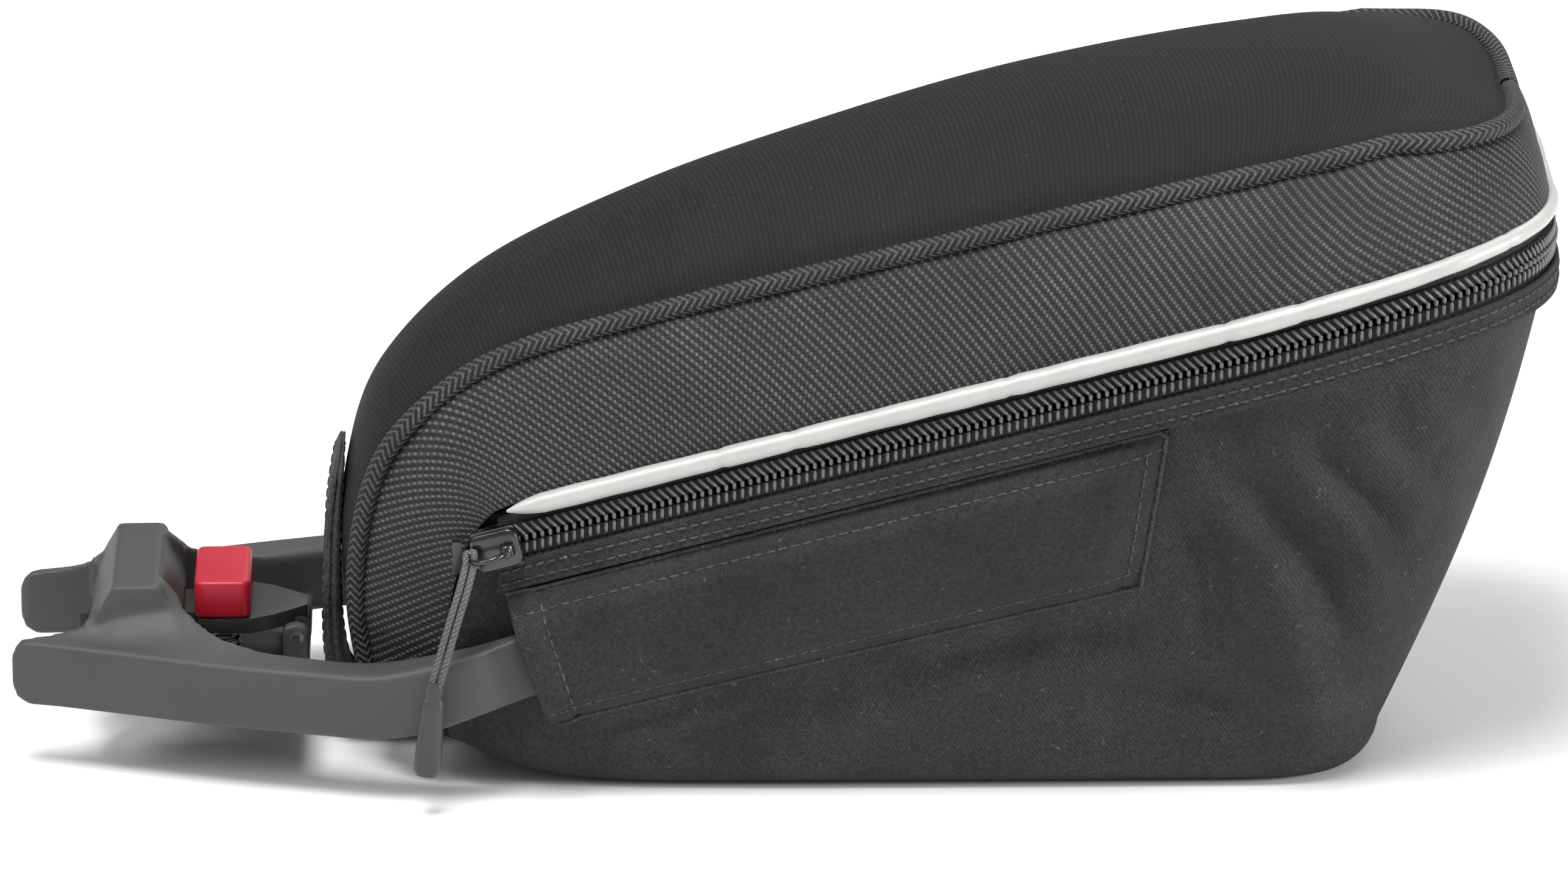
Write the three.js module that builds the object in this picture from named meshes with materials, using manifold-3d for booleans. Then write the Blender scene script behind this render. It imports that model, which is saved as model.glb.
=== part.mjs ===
// Clip-on saddle bag: a moulded fork frame that clicks onto a saddle adapter, and a zipped,
// tapered bag whose rear and sides hang from the two arms of the frame.
// Millimetres. +X runs from the fork to the rear of the bag, +Y to the rider's right, +Z up. The origin is the middle of the bag's base level, under the middle of its length.
import * as THREE from 'three';
import { mergeVertices } from 'three/addons/utils/BufferGeometryUtils.js';
import Module from 'manifold-3d';

const wasm = await Module();
wasm.setup();

// ---------------------------------------------------------------- driving dimensions

const GAP = 0.35;                 // air kept between neighbouring solids

const TIP_X = -170.4;             // prong tips
const FRAME_LOW = 15;             // underside of the fork
const FRAME_TOP = 30;             // top of the rails
const SLOT_HALF = 20;             // half the slot that the saddle adapter slides into
const SLOT_END_X = -153.6;
const BRIDGE_REAR_X = -133;
const FLOOR_REAR_X = -105;
const FLOOR_TOP = 18.6;
const BRIDGE_TOP = 41.8;

const ZIP_HEIGHT = 77.7;          // height of the zip's centre line at x = 0
const ZIP_SLOPE = 0.305;
const ZIP_FRONT_X = -66;
const ZIP_FRONT_HALF = 40;
const ZIP_FLARE = 0.1358;
const ZIP_STRAIGHT_X = 96;        // the zip runs straight up to here, then rounds the rear
const ZIP_CORNER_X = 115;
const ZIP_CORNER_HALF = 62.8;
const ZIP_REAR_X = 166.7;
const ZIP_REAR_DIP = 9;           // how far the zip dips from its straight slope at the rear centre
const SEAM_REAR_LIFT = 2.2;       // how far the lid's seam arches over each rear corner
const CORNER_POWER = 0.8;

const BASE_HALF = 42;
const BASE_CORNER_X = 98;
const BASE_REAR_X = 132;
const BASE_ROUND = 8;             // round between the side walls and the base
const FABRIC = 1.6;               // side walls, gusset and base cloth
const TOP_CLOTH = 1.6;
const FOAM = 3;
const PIPING_RADIUS = 2.2;
const REFLECTIVE_RADIUS = 2.5;
const PIPING_LIFT = 7.5;          // reflective piping's centre above the zip's centre line

const ARM_END_X = 70;
const BLADE = 3.2;                // thickness of an arm inside its sleeve
const SLEEVE_STAND_OFF = 4.4;
const SLEEVE_CLOTH = 1.3;
const PLATE = 1.6;                // backing plates inside the walls

const FOLD_START = 0.2;           // stations of the lid's front fold along the seam
const FOLD_END = 0.4;
const SEAM_SHARE = 0.8;           // share of a whole rim that runs along the side

const BUTTON_X = [-130.4, -118];
const BUTTON_HALF = 11.8;
const BUTTON_Z = [31.4, 39.2];
const LEVER_PIVOT = [-108, 25.2];
const LEVER_PIN_RADIUS = 1.5;

// ---------------------------------------------------------------- helpers

const V = (x, y, z) => new THREE.Vector3(x, y, z);
const lerp = THREE.MathUtils.lerp;
const clamp = THREE.MathUtils.clamp;

const COLOURS = {
  plastic: [0x4a4a48, 0.5],
  button: [0xb81c34, 0.42],
  cloth: [0x1d1d1f, 0.9],
  weave: [0x2b2b2d, 0.9],
  panel: [0x202022, 0.85],
  reflective: [0xd4d4d0, 0.45],
  coil: [0x1a1a1c, 0.5],
  metal: [0x55555a, 0.35],
  foam: [0x707070, 0.95],
  cord: [0x3a3a3c, 0.85],
};

const bag = new THREE.Group();

function add(name, geometry, look, parent = bag) {
  const [color, roughness] = COLOURS[look];
  const metalness = look === 'metal' ? 0.9 : 0;
  const material = new THREE.MeshStandardMaterial({ color, roughness, metalness });
  const mesh = new THREE.Mesh(geometry, material);
  mesh.name = name;
  parent.add(mesh);
  return mesh;
}

function geometryFrom(points, triangles) {
  const geometry = new THREE.BufferGeometry();
  const flat = points.flatMap((p) => [p.x, p.y, p.z]);
  let volume = 0;
  for (const [a, b, c] of triangles) {
    volume += points[a].dot(points[b].clone().cross(points[c]));
  }
  const outward = volume > 0 ? triangles : triangles.map(([a, b, c]) => [a, c, b]);
  geometry.setAttribute('position', new THREE.Float32BufferAttribute(flat, 3));
  geometry.setIndex(outward.flat());
  return geometry;
}

// A closed body through rings of points, flat at both ends.
function loft(rings) {
  const count = rings[0].length;
  const triangles = [];
  for (let k = 0; k < rings.length - 1; k += 1) {
    for (let i = 0; i < count; i += 1) {
      const j = (i + 1) % count;
      const [a, b, c, d] = [k * count + i, k * count + j, (k + 1) * count + j, (k + 1) * count + i];
      triangles.push([a, b, c], [a, c, d]);
    }
  }
  const last = (rings.length - 1) * count;
  for (let i = 1; i < count - 1; i += 1) {
    triangles.push([0, i + 1, i], [last, last + i, last + i + 1]);
  }
  return geometryFrom(rings.flat(), triangles);
}

// A sheet of even thickness under an outer surface, closed round its rim.
function sheet(surface, across, along, thickness, side = 1) {
  const step = 1e-3;
  const outer = [];
  const inner = [];
  for (let i = 0; i <= across; i += 1) {
    for (let j = 0; j <= along; j += 1) {
      const u = i / across;
      const v = j / along;
      const [u0, u1] = [Math.max(0, u - step), Math.min(1, u + step)];
      const [v0, v1] = [Math.max(0, v - step), Math.min(1, v + step)];
      const du = surface(u1, v).sub(surface(u0, v));
      const dv = surface(u, v1).sub(surface(u, v0));
      const normal = du.cross(dv).normalize().multiplyScalar(side * thickness);
      const point = surface(u, v);
      outer.push(point);
      inner.push(point.clone().sub(normal));
    }
  }
  const row = along + 1;
  const half = outer.length;
  const triangles = [];
  for (let i = 0; i < across; i += 1) {
    for (let j = 0; j < along; j += 1) {
      const [a, b, c, d] = [i * row + j, (i + 1) * row + j, (i + 1) * row + j + 1, i * row + j + 1];
      triangles.push([a, b, c], [a, c, d], [half + a, half + c, half + b], [half + a, half + d, half + c]);
    }
  }
  const rim = [];
  for (let j = 0; j < along; j += 1) rim.push(j);
  for (let i = 0; i < across; i += 1) rim.push(i * row + along);
  for (let j = along; j > 0; j -= 1) rim.push(across * row + j);
  for (let i = across; i > 0; i -= 1) rim.push(i * row);
  for (let k = 0; k < rim.length; k += 1) {
    const [a, b] = [rim[k], rim[(k + 1) % rim.length]];
    triangles.push([a, b, half + b], [a, half + b, half + a]);
  }
  return geometryFrom([...outer, ...inner], triangles);
}

function tube(curve, radius, steps, sides = 8) {
  const round = new THREE.Shape();
  for (let i = 0; i < sides; i += 1) {
    const angle = (2 * Math.PI * i) / sides;
    const [x, y] = [radius * Math.cos(angle), radius * Math.sin(angle)];
    if (i === 0) round.moveTo(x, y);
    else round.lineTo(x, y);
  }
  return new THREE.ExtrudeGeometry(round, { steps, extrudePath: curve, bevelEnabled: false });
}

const spline = (points) => new THREE.CatmullRomCurve3(points, false, 'centripetal');

// A curve through points that are spread evenly in its own parameter.
function track(points) {
  const curve = new THREE.CatmullRomCurve3(points, false, 'catmullrom', 0.5);
  return (t) => curve.getPoint(clamp(t, 0, 1));
}

class FunctionCurve extends THREE.Curve {
  constructor(at) {
    super();
    this.at = at;
  }

  getPoint(t) {
    return this.at(t);
  }
}

function toSolid(geometry) {
  const bare = geometry.clone();
  bare.deleteAttribute('normal');
  bare.deleteAttribute('uv');
  const merged = mergeVertices(bare, 1e-4);
  const vertProperties = new Float32Array(merged.attributes.position.array);
  const triVerts = new Uint32Array(merged.index.array);
  return new wasm.Manifold(new wasm.Mesh({ numProp: 3, vertProperties, triVerts }));
}

function toGeometry(solid) {
  const mesh = solid.getMesh();
  const geometry = new THREE.BufferGeometry();
  geometry.setAttribute('position', new THREE.BufferAttribute(mesh.vertProperties, 3));
  geometry.setIndex(new THREE.BufferAttribute(mesh.triVerts, 1));
  return geometry;
}

function block(low, high) {
  const size = high.map((value, axis) => value - low[axis]);
  const middle = high.map((value, axis) => (value + low[axis]) / 2);
  return new THREE.BoxGeometry(...size).translate(...middle);
}

// A round bar across the bag, along Y.
function crossBar(radius, x, z, yLow, yHigh, sides = 16) {
  const bar = new THREE.CylinderGeometry(radius, radius, yHigh - yLow, sides);
  return bar.translate(x, (yLow + yHigh) / 2, z);
}

const mirrored = (point) => V(point.x, -point.y, point.z);

// ---------------------------------------------------------------- the bag's guide lines

// Each guide line gives the near side, at negative Y, from the front to the rear centre.
const zipHeight = (x) => ZIP_HEIGHT + ZIP_SLOPE * x;

function corner(startX, rearX, half, turn) {
  const angle = turn * Math.PI / 2;
  const x = startX + (rearX - startX) * Math.sin(angle) ** CORNER_POWER;
  const y = half * Math.cos(angle) ** CORNER_POWER;
  return [x, turn >= 1 ? 0 : y];
}

function zipHalf(x) {
  if (x <= ZIP_STRAIGHT_X) return ZIP_FRONT_HALF + ZIP_FLARE * (x - ZIP_FRONT_X);
  const straight = ZIP_FRONT_HALF + ZIP_FLARE * (ZIP_STRAIGHT_X - ZIP_FRONT_X);
  const t = (x - ZIP_STRAIGHT_X) / (ZIP_CORNER_X - ZIP_STRAIGHT_X);
  return lerp(straight, ZIP_CORNER_HALF, t * (2 - t));
}

// Zip's centre line: t = 0 at its front end, 1 at the rear centre.
function zipLine(t) {
  if (t < SEAM_SHARE) {
    const x = lerp(ZIP_FRONT_X, ZIP_CORNER_X, t / SEAM_SHARE);
    return V(x, -zipHalf(x), zipHeight(x));
  }
  const turn = (t - SEAM_SHARE) / (1 - SEAM_SHARE);
  const [x, half] = corner(ZIP_CORNER_X, ZIP_REAR_X, ZIP_CORNER_HALF, turn);
  return V(x, -half, zipHeight(x) - ZIP_REAR_DIP * turn * turn);
}

// Horizontal direction out of the wall at the zip.
function zipOut(t) {
  const [a, b] = [zipLine(Math.max(0, t - 0.004)), zipLine(Math.min(1, t + 0.004))];
  if (t >= 1) return V(1, 0, 0);
  return V(b.y - a.y, a.x - b.x, 0).normalize();
}

// The seam between top panel and gusset, from the foot of the bag's front to the rear corner.
const seamSide = track([
  V(-91.5, -25.5, 20), V(-94.5, -26, 40), V(-92.3, -26.6, 61), V(-84.5, -27.8, 79.5), V(-64, -30, 97),
  V(-30, -34, 109), V(10, -38.8, 120.3), V(50, -43.2, 131.2), V(90, -46.3, 141.3), V(115, -46.6, 146.8),
  V(130, -44.5, 149.8),
]);

// The top panel's middle line over the same stations.
const crownLine = track([
  V(-94.2, 0, 19.5), V(-97.3, 0, 40), V(-96.3, 0, 62), V(-88.5, 0, 85), V(-66, 0, 108),
  V(-30, 0, 126.5), V(12, 0, 140.5), V(54, 0, 152), V(98, 0, 160), V(130, 0, 161), V(158.5, 0, 147.5),
]);

function seamLine(t) {
  if (t < SEAM_SHARE) return seamSide(t / SEAM_SHARE);
  const end = seamSide(1);
  const rear = crownLine(1);
  const [x, half] = corner(end.x, rear.x, -end.y, (t - SEAM_SHARE) / (1 - SEAM_SHARE));
  const z = lerp(end.z, rear.z, (x - end.x) / (rear.x - end.x));
  const arch = SEAM_REAR_LIFT * Math.sin(Math.PI * (t - SEAM_SHARE) / (1 - SEAM_SHARE));
  return V(x, -half, z + arch);
}

// The gusset's lower edge: up the front edge of the side wall, then along the reflective piping.
const edgeSide = track([
  V(-75.5, -35, 10.5), V(-75.2, -36, 30), V(-71.5, -37.8, 50), V(-66.8, -39.8, 61.5), V(-58, -41.1, 67.5),
  V(-28, -45.2, 76.7), V(4, -49.5, 86.4), V(38, -54.1, 96.8), V(72, -58.7, 107.2), V(96, -62, 114.5),
  V(115, -62.8, 120.3),
]);

function edgeLine(t) {
  if (t < SEAM_SHARE) return edgeSide(t / SEAM_SHARE);
  return zipLine(t).add(V(0, 0, PIPING_LIFT));
}

// Whole rims run from the near front end (0) round the rear (0.5) to the far front end (1).
function wholeRim(half) {
  return (t) => (t <= 0.5 ? half(2 * t) : mirrored(half(2 - 2 * t)));
}

// ---------------------------------------------------------------- lid and front cloth

// Top panel over stations from and to, across the bag from the near seam to the far one.
function topSurface(from, to, edge = 0) {
  return (u, v) => {
    const t = lerp(from, to, v);
    const seam = seamSide(t);
    const crown = crownLine(t);
    const rear = clamp((t - 0.9) / 0.1, 0, 1);
    const reach = 1 - (edge + 2.4 * rear) / Math.abs(seam.y);
    const c = reach * Math.abs(2 * u - 1);
    const flat = 1 - c ** 2.5;
    const bend = Math.acos(clamp(c, 0, 1)) / (Math.PI / 2);
    const roundX = Math.sin(bend * Math.PI / 2) ** CORNER_POWER;
    const x = lerp(seam.x, crown.x, lerp(flat, roundX, rear));
    const y = seam.y * c * (u < 0.5 ? 1 : -1);
    const arch = SEAM_REAR_LIFT * rear * Math.sin(Math.PI * bend);
    return V(x, y, lerp(seam.z, crown.z, 1 - c ** 2.2) + arch);
  };
}

// Sunk under the top surface by a depth, for the foam.
function sunk(surface, depth) {
  return (u, v) => {
    const step = 1e-3;
    const [u0, u1] = [Math.max(0, u - step), Math.min(1, u + step)];
    const [v0, v1] = [Math.max(0, v - step), Math.min(1, v + step)];
    const du = surface(u1, v).sub(surface(u0, v));
    const dv = surface(u, v1).sub(surface(u, v0));
    return surface(u, v).sub(du.cross(dv).normalize().multiplyScalar(depth));
  };
}

const TOP_EDGE = PIPING_RADIUS + GAP + 0.4;
const station = (share) => share + 0.0015;
const TOP_SIDE = -1;               // the top surfaces run clockwise, so their normal points in
const lidTop = topSurface(station(FOLD_END), 0.985, TOP_EDGE);
add('top_panel', sheet(lidTop, 10, 18, TOP_CLOTH, TOP_SIDE), 'cloth');
const foamTop = sunk(topSurface(0.42, 0.88, 8), TOP_SIDE * (TOP_CLOTH + 2 * GAP));
add('lid_foam', sheet(foamTop, 8, 12, FOAM, TOP_SIDE), 'foam');
const foldTop = topSurface(station(FOLD_START), FOLD_END - 0.0015, TOP_EDGE);
add('top_panel_fold', sheet(foldTop, 8, 6, TOP_CLOTH, TOP_SIDE), 'cloth');
const frontTop = topSurface(0, FOLD_START - 0.0015, TOP_EDGE);
add('front_panel', sheet(frontTop, 8, 5, TOP_CLOTH, TOP_SIDE), 'cloth');

// Gusset between the two rims. Its edges keep clear of the piping at both.
function gussetSurface(seamAt, edgeAt, from, to, edgeClear) {
  return (u, v) => {
    const t = lerp(from, to, v);
    const top = seamAt(t);
    const low = edgeAt(t);
    const length = top.distanceTo(low);
    const share = lerp(edgeClear / length, 1 - (PIPING_RADIUS + GAP + 0.9) / length, u);
    const ahead = edgeAt(Math.min(1, t + 0.01)).sub(edgeAt(Math.max(0, t - 0.01)));
    const out = ahead.cross(top.clone().sub(low)).normalize();
    const bulge = 1.2 * Math.sin(Math.PI * share);
    return low.lerp(top, share).addScaledVector(out, bulge);
  };
}

const EDGE_CLEAR = REFLECTIVE_RADIUS + GAP + 0.2;
const lidFrom = FOLD_END * SEAM_SHARE / 2 + 0.001;
const foldFrom = FOLD_START * SEAM_SHARE / 2;
const seamRim = wholeRim(seamLine);
const edgeRim = wholeRim(edgeLine);
add('lid_gusset', sheet(gussetSurface(seamRim, edgeRim, lidFrom, 1 - lidFrom, EDGE_CLEAR), 3, 46, FABRIC, -1), 'weave');
for (const [side, end] of [['left', 0], ['right', 1]]) {
  const at = (t) => Math.abs(end - t);
  const fold = gussetSurface(seamRim, edgeRim, at(foldFrom + 0.0005), at(lidFrom - 0.001), EDGE_CLEAR);
  const front = gussetSurface(seamRim, edgeRim, at(0), at(foldFrom - 0.0005), 1);
  add(`gusset_fold_${side}`, sheet(fold, 3, 6, FABRIC, end ? 1 : -1), 'weave');
  add(`gusset_front_${side}`, sheet(front, 3, 5, FABRIC, end ? 1 : -1), 'weave');
}

// Cord piping along the seam: the lid's part, the folding part and the front part of each side.
const seamPipe = (from, to) => new FunctionCurve((t) => seamRim(lerp(from, to, t)));
add('lid_piping', tube(seamPipe(lidFrom, 1 - lidFrom), PIPING_RADIUS, 48, 6), 'weave');
for (const [side, end] of [['left', 0], ['right', 1]]) {
  const at = (t) => Math.abs(end - t);
  add(`piping_front_${side}`, tube(seamPipe(at(0.001), at(lidFrom - 0.002)), PIPING_RADIUS, 12, 6), 'weave');
}

// ---------------------------------------------------------------- zip

// A band along the zip, its section given as [out, up] pairs from the zip's centre line.
const zipRim = wholeRim(zipLine);
function zipBand(section, from, to, steps) {
  const rings = [];
  for (let k = 0; k <= steps; k += 1) {
    const t = lerp(from, to, k / steps);
    const near = t <= 0.5;
    const half = near ? 2 * t : 2 - 2 * t;
    const out = zipOut(half);
    if (near === false) out.y *= -1;
    const centre = zipRim(t);
    rings.push(section.map(([o, up]) => centre.clone().addScaledVector(out, o).add(V(0, 0, up))));
  }
  return loft(rings);
}

const rectangle = (outLow, outHigh, upLow, upHigh) => [
  [outLow, upLow], [outHigh, upLow], [outHigh, upHigh], [outLow, upHigh],
];

const ZIP_FROM = 0.006;
const ZIP_STEPS = 40;
const COIL = { out: [-0.2, 1.8], from: 0.85, to: 3.9 };
const TAPE = { out: [-1.3, -0.5], from: 1, to: 4.2 };
for (const [name, sign] of [['upper', 1], ['lower', -1]]) {
  const coilBand = rectangle(...COIL.out, sign * COIL.from, sign * COIL.to);
  const tapeBand = rectangle(...TAPE.out, sign * TAPE.from, sign * TAPE.to);
  add(`zip_coil_${name}`, zipBand(coilBand, ZIP_FROM, 1 - ZIP_FROM, ZIP_STEPS), 'coil');
  add(`zip_tape_${name}`, zipBand(tapeBand, ZIP_FROM, 1 - ZIP_FROM, ZIP_STEPS), 'cloth');
}
add('body_binding', zipBand(rectangle(1.2, 2.1, -10.6, -4.7), ZIP_FROM, 1 - ZIP_FROM, ZIP_STEPS), 'panel');

const reflectiveLine = (t) => {
  const half = t <= 0.5 ? 2 * t : 2 - 2 * t;
  const out = zipOut(half);
  const point = zipLine(half).addScaledVector(out, 1.2).add(V(0, 0, PIPING_LIFT));
  return t <= 0.5 ? point : mirrored(point);
};
const reflective = new FunctionCurve((t) => reflectiveLine(lerp(0.014, 0.986, t)));
add('reflective_piping', tube(reflective, REFLECTIVE_RADIUS, 48, 6), 'reflective');

for (const [side, sign] of [['left', -1], ['right', 1]]) {
  const stop = block([-1, -1, -3.6], [1, 1, 3.6]);
  stop.translate(ZIP_FRONT_X - 6.1, sign * (ZIP_FRONT_HALF + 1.2), zipHeight(ZIP_FRONT_X) - 1.6);
  add(`zip_stop_${side}`, stop, 'metal');
}

// ---------------------------------------------------------------- body of the bag

// Half-width of the outside of the side wall at a place on it.
function wallHalf(x, z) {
  const top = zipHeight(x) - 5;
  const share = clamp((top - z) / (top - BASE_ROUND), 0, 1);
  return lerp(zipHalf(x), BASE_HALF - 0.6, share);
}

const armTop = (x) => zipHeight(x) - 21;
const armLow = (x) => zipHeight(x) - 36;

// The arms are riveted through the side walls to plates inside the bag.
const RIVET_X = [-22, 45];
const RIVET_RADIUS = 2;
const rivetZ = (x) => (armTop(x) + armLow(x)) / 2;

function rivetHole(x, sign) {
  const [low, high] = sign > 0 ? [-70, -30] : [30, 70];
  return toSolid(crossBar(RIVET_RADIUS + GAP, x, rivetZ(x), low, high, 12));
}

// Foot of the side wall, at the base, from the front to the rear centre.
const footSide = track([
  V(-75, -35, 9), V(-63, -37.4, 4), V(-48, -39, 0.9), V(-28, -40.3, 0), V(0, -41.2, 0), V(30, -41.6, 0),
  V(60, -41.9, 0), V(BASE_CORNER_X, -BASE_HALF, 0),
]);

function footLine(t) {
  if (t < SEAM_SHARE) {
    const foot = footSide(t / SEAM_SHARE);
    return V(foot.x, foot.y, Math.max(0, foot.z));
  }
  const turn = (t - SEAM_SHARE) / (1 - SEAM_SHARE);
  const [x, half] = corner(BASE_CORNER_X, BASE_REAR_X, BASE_HALF, turn);
  return V(x, -half, 0);
}

function inward(line, t) {
  if (t >= 1) return V(-1, 0, 0);
  const [a, b] = [line(Math.max(0, t - 0.004)), line(Math.min(1, t + 0.004))];
  return V(a.y - b.y, b.x - a.x, 0).normalize();
}

// Wall from under the zip down to the round at its foot, and under it to the base cloth.
function wallPoint(t, drop) {
  const front = clamp(1 - t / 0.12, 0, 1);
  const top = zipLine(t).add(V(-3.8 * front, 0, -5 - 3.8 * ZIP_SLOPE * front));
  const foot = footLine(t);
  const into = inward(footLine, t);
  const start = V(foot.x, foot.y, foot.z + BASE_ROUND);
  if (drop <= 0.8) {
    const share = drop / 0.8;
    const bow = -1.2 * Math.sin(Math.PI * share) * front;
    return top.lerp(start, share).add(V(bow, 0, 0));
  }
  const angle = (drop - 0.8) / 0.2 * Math.PI / 2;
  const round = foot.clone().addScaledVector(into, BASE_ROUND * (1 - Math.cos(angle)));
  return round.add(V(0, 0, BASE_ROUND * (1 - Math.sin(angle))));
}

const REAR_SEAM = 0.9999;         // the two side walls are sewn together at the rear centre
for (const [side, sign] of [['left', 1], ['right', -1]]) {
  const wall = (u, v) => {
    const point = wallPoint(lerp(0, REAR_SEAM, v), u);
    return V(point.x, sign * point.y, point.z);
  };
  let cloth = toSolid(sheet(wall, 8, 24, FABRIC, sign));
  for (const x of RIVET_X) cloth = cloth.subtract(rivetHole(x, sign));
  add(`side_wall_${side}`, toGeometry(cloth), 'panel');
}

// Base cloth: flat under the bag, rising at the front to meet the front panel.
const baseMiddle = track([
  V(-92.6, 0, 17.6), V(-85, 0, 12.9), V(-75.5, 0, 8.2), V(-63, 0, 3.8), V(-48, 0, 0.8), V(-28, 0, 0),
  V(0, 0, 0), V(30, 0, 0), V(60, 0, 0), V(90, 0, 0), V(BASE_REAR_X - 12, 0, 0),
]);
const baseHalf = track([
  V(0, 25.2, 0), V(0, 29.4, 0), V(0, 26.2, 0), V(0, 28.2, 0), V(0, 30, 0), V(0, 31.2, 0),
  V(0, 32.1, 0), V(0, 32.5, 0), V(0, 32.7, 0), V(0, 32.8, 0), V(0, 20, 0),
]);
const baseSurface = (u, v) => {
  const middle = baseMiddle(v);
  const half = baseHalf(v).y;
  const across = 2 * u - 1;
  const bow = clamp((v - 0.9) / 0.1, 0, 1) * 3.4 * (1 - across * across);
  return V(middle.x + bow, across * half, Math.max(0, middle.z));
};
add('base_cloth', sheet(baseSurface, 6, 18, FABRIC, 1), 'panel');

// Stiff board that keeps the base flat, lying on the base cloth.
const boardShape = new THREE.Shape();
boardShape.moveTo(-40, -28);
boardShape.lineTo(96, -31);
boardShape.quadraticCurveTo(120, -30, 121, -12);
boardShape.lineTo(121, 12);
boardShape.quadraticCurveTo(120, 30, 96, 31);
boardShape.lineTo(-40, 28);
const board = new THREE.ExtrudeGeometry(boardShape, { depth: 1.5, bevelEnabled: false, curveSegments: 6 });
add('base_board', board.translate(0, 0, FABRIC + GAP), 'plastic');

// ---------------------------------------------------------------- fork frame


// Rail and arm of one side as stations: x, inner and outer half-width, bottom, top, edge round.
const railStations = [
  [TIP_X, SLOT_HALF + 0.6, 21.6, 19, 26.2, 0.3],
  [TIP_X + 0.9, SLOT_HALF, 22.2, 16.6, 28.5, 0.5],
  [TIP_X + 3.4, SLOT_HALF, 23.2, FRAME_LOW, FRAME_TOP, 0.8],
  [-160, SLOT_HALF, 25.2, FRAME_LOW, FRAME_TOP, 1.2],
  [-148, SLOT_HALF, 29.4, FRAME_LOW, FRAME_TOP, 1.4],
  [-137, SLOT_HALF, 33.4, FRAME_LOW, FRAME_TOP, 1.6],
  [-126.5, 24.3, 37.3, FRAME_LOW, FRAME_TOP, 1.8],
  [-115, 29.2, 40.8, FRAME_LOW, FRAME_TOP, 1.8],
  [-106, 32.6, 43.2, FRAME_LOW, FRAME_TOP, 1.8],
  [-97, 35.4, 45.8, FRAME_LOW, FRAME_TOP, 1.8],
  [-90.5, 36.8, 47.4, FRAME_LOW, FRAME_TOP + 0.2, 1.8],
  [-85, 37.8, 48, FRAME_LOW + 0.7, FRAME_TOP + 1.2, 1.8],
  [-78, 39.2, 48.4, armLow(-78) - 1, armTop(-78), 1.6],
  [-68, 41.8, 49, armLow(-68), armTop(-68), 1.4],
];
for (const x of [-56, -40, -20, 0, 20, 40, 60, ARM_END_X]) {
  const end = x === ARM_END_X ? 4 : 0;
  const inner = wallHalf(x, armLow(x) + end) + 0.9;
  railStations.push([x, inner, inner + BLADE, armLow(x) + end, armTop(x) - end, 0.6]);
}

// Eight-sided section. Inside the sleeve it leans out with the bag's wall.
function railRing([x, inner, outer, low, high, round], sign) {
  const blend = clamp((x + 68) / 12, 0, 1);
  const lean = blend * (wallHalf(x, high) - wallHalf(x, low)) / (high - low);
  const corners = [
    [inner + round, low], [outer - round, low], [outer, low + round], [outer, high - round],
    [outer - round, high], [inner + round, high], [inner, high - round], [inner, low + round],
  ];
  return corners.map(([half, z]) => V(x, sign * (half + lean * (z - low)), z));
}

function bridgeRing(z, xLow, xHigh, half, round) {
  return [
    V(xLow + round, -half, z), V(xHigh - round, -half, z), V(xHigh, -half + round, z),
    V(xHigh, half - round, z), V(xHigh - round, half, z), V(xLow + round, half, z),
    V(xLow, half - round, z), V(xLow, -half + round, z),
  ];
}

// Rounded hump across the rails, flaring down to them.
const bridge = loft([
  bridgeRing(FRAME_LOW + 0.4, SLOT_END_X, BRIDGE_REAR_X, 24, 1),
  bridgeRing(27.5, SLOT_END_X, BRIDGE_REAR_X, 28.5, 1),
  bridgeRing(30.5, -153, BRIDGE_REAR_X, 26.5, 1),
  bridgeRing(33, -152, -133.8, 22.4, 1.5),
  bridgeRing(36.5, -150.4, -135.2, 19.2, 2),
  bridgeRing(BRIDGE_TOP - 0.9, -148.2, -137.4, 17, 2),
  bridgeRing(BRIDGE_TOP, -147.2, -138.4, 16, 2),
]);

const floorShape = new THREE.Shape();
const floorOutline = [
  [BRIDGE_REAR_X - 1, -21], [-126.5, -25.5], [-115, -30.4], [FLOOR_REAR_X, -34],
  [FLOOR_REAR_X, 34], [-115, 30.4], [-126.5, 25.5], [BRIDGE_REAR_X - 1, 21],
];
floorShape.setFromPoints(floorOutline.map(([x, y]) => new THREE.Vector2(x, y)));
const floor = new THREE.ExtrudeGeometry(floorShape, { depth: FLOOR_TOP - FRAME_LOW - 0.3, bevelEnabled: false });
floor.translate(0, 0, FRAME_LOW + 0.3);

const EAR_HALF = 9.4;             // outer faces of the two ears that hold the lever's pin
const LEVER_TAIL_HALF = 5.4;
const LEAF_HALF = 11.6;           // the leaf is as wide as the button that sits on it
const LEAF_NECK_HALF = 7.6;       // and narrow where it runs under the bridge
const [pivotX, pivotZ] = LEVER_PIVOT;
function ear(sign) {
  const low = sign > 0 ? LEVER_TAIL_HALF + 0.5 : -EAR_HALF;
  const high = sign > 0 ? EAR_HALF : -LEVER_TAIL_HALF - 0.5;
  return block([pivotX - 3.2, low, FLOOR_TOP - 0.5], [pivotX + 2.6, high, pivotZ + 2.8]);
}

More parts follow.
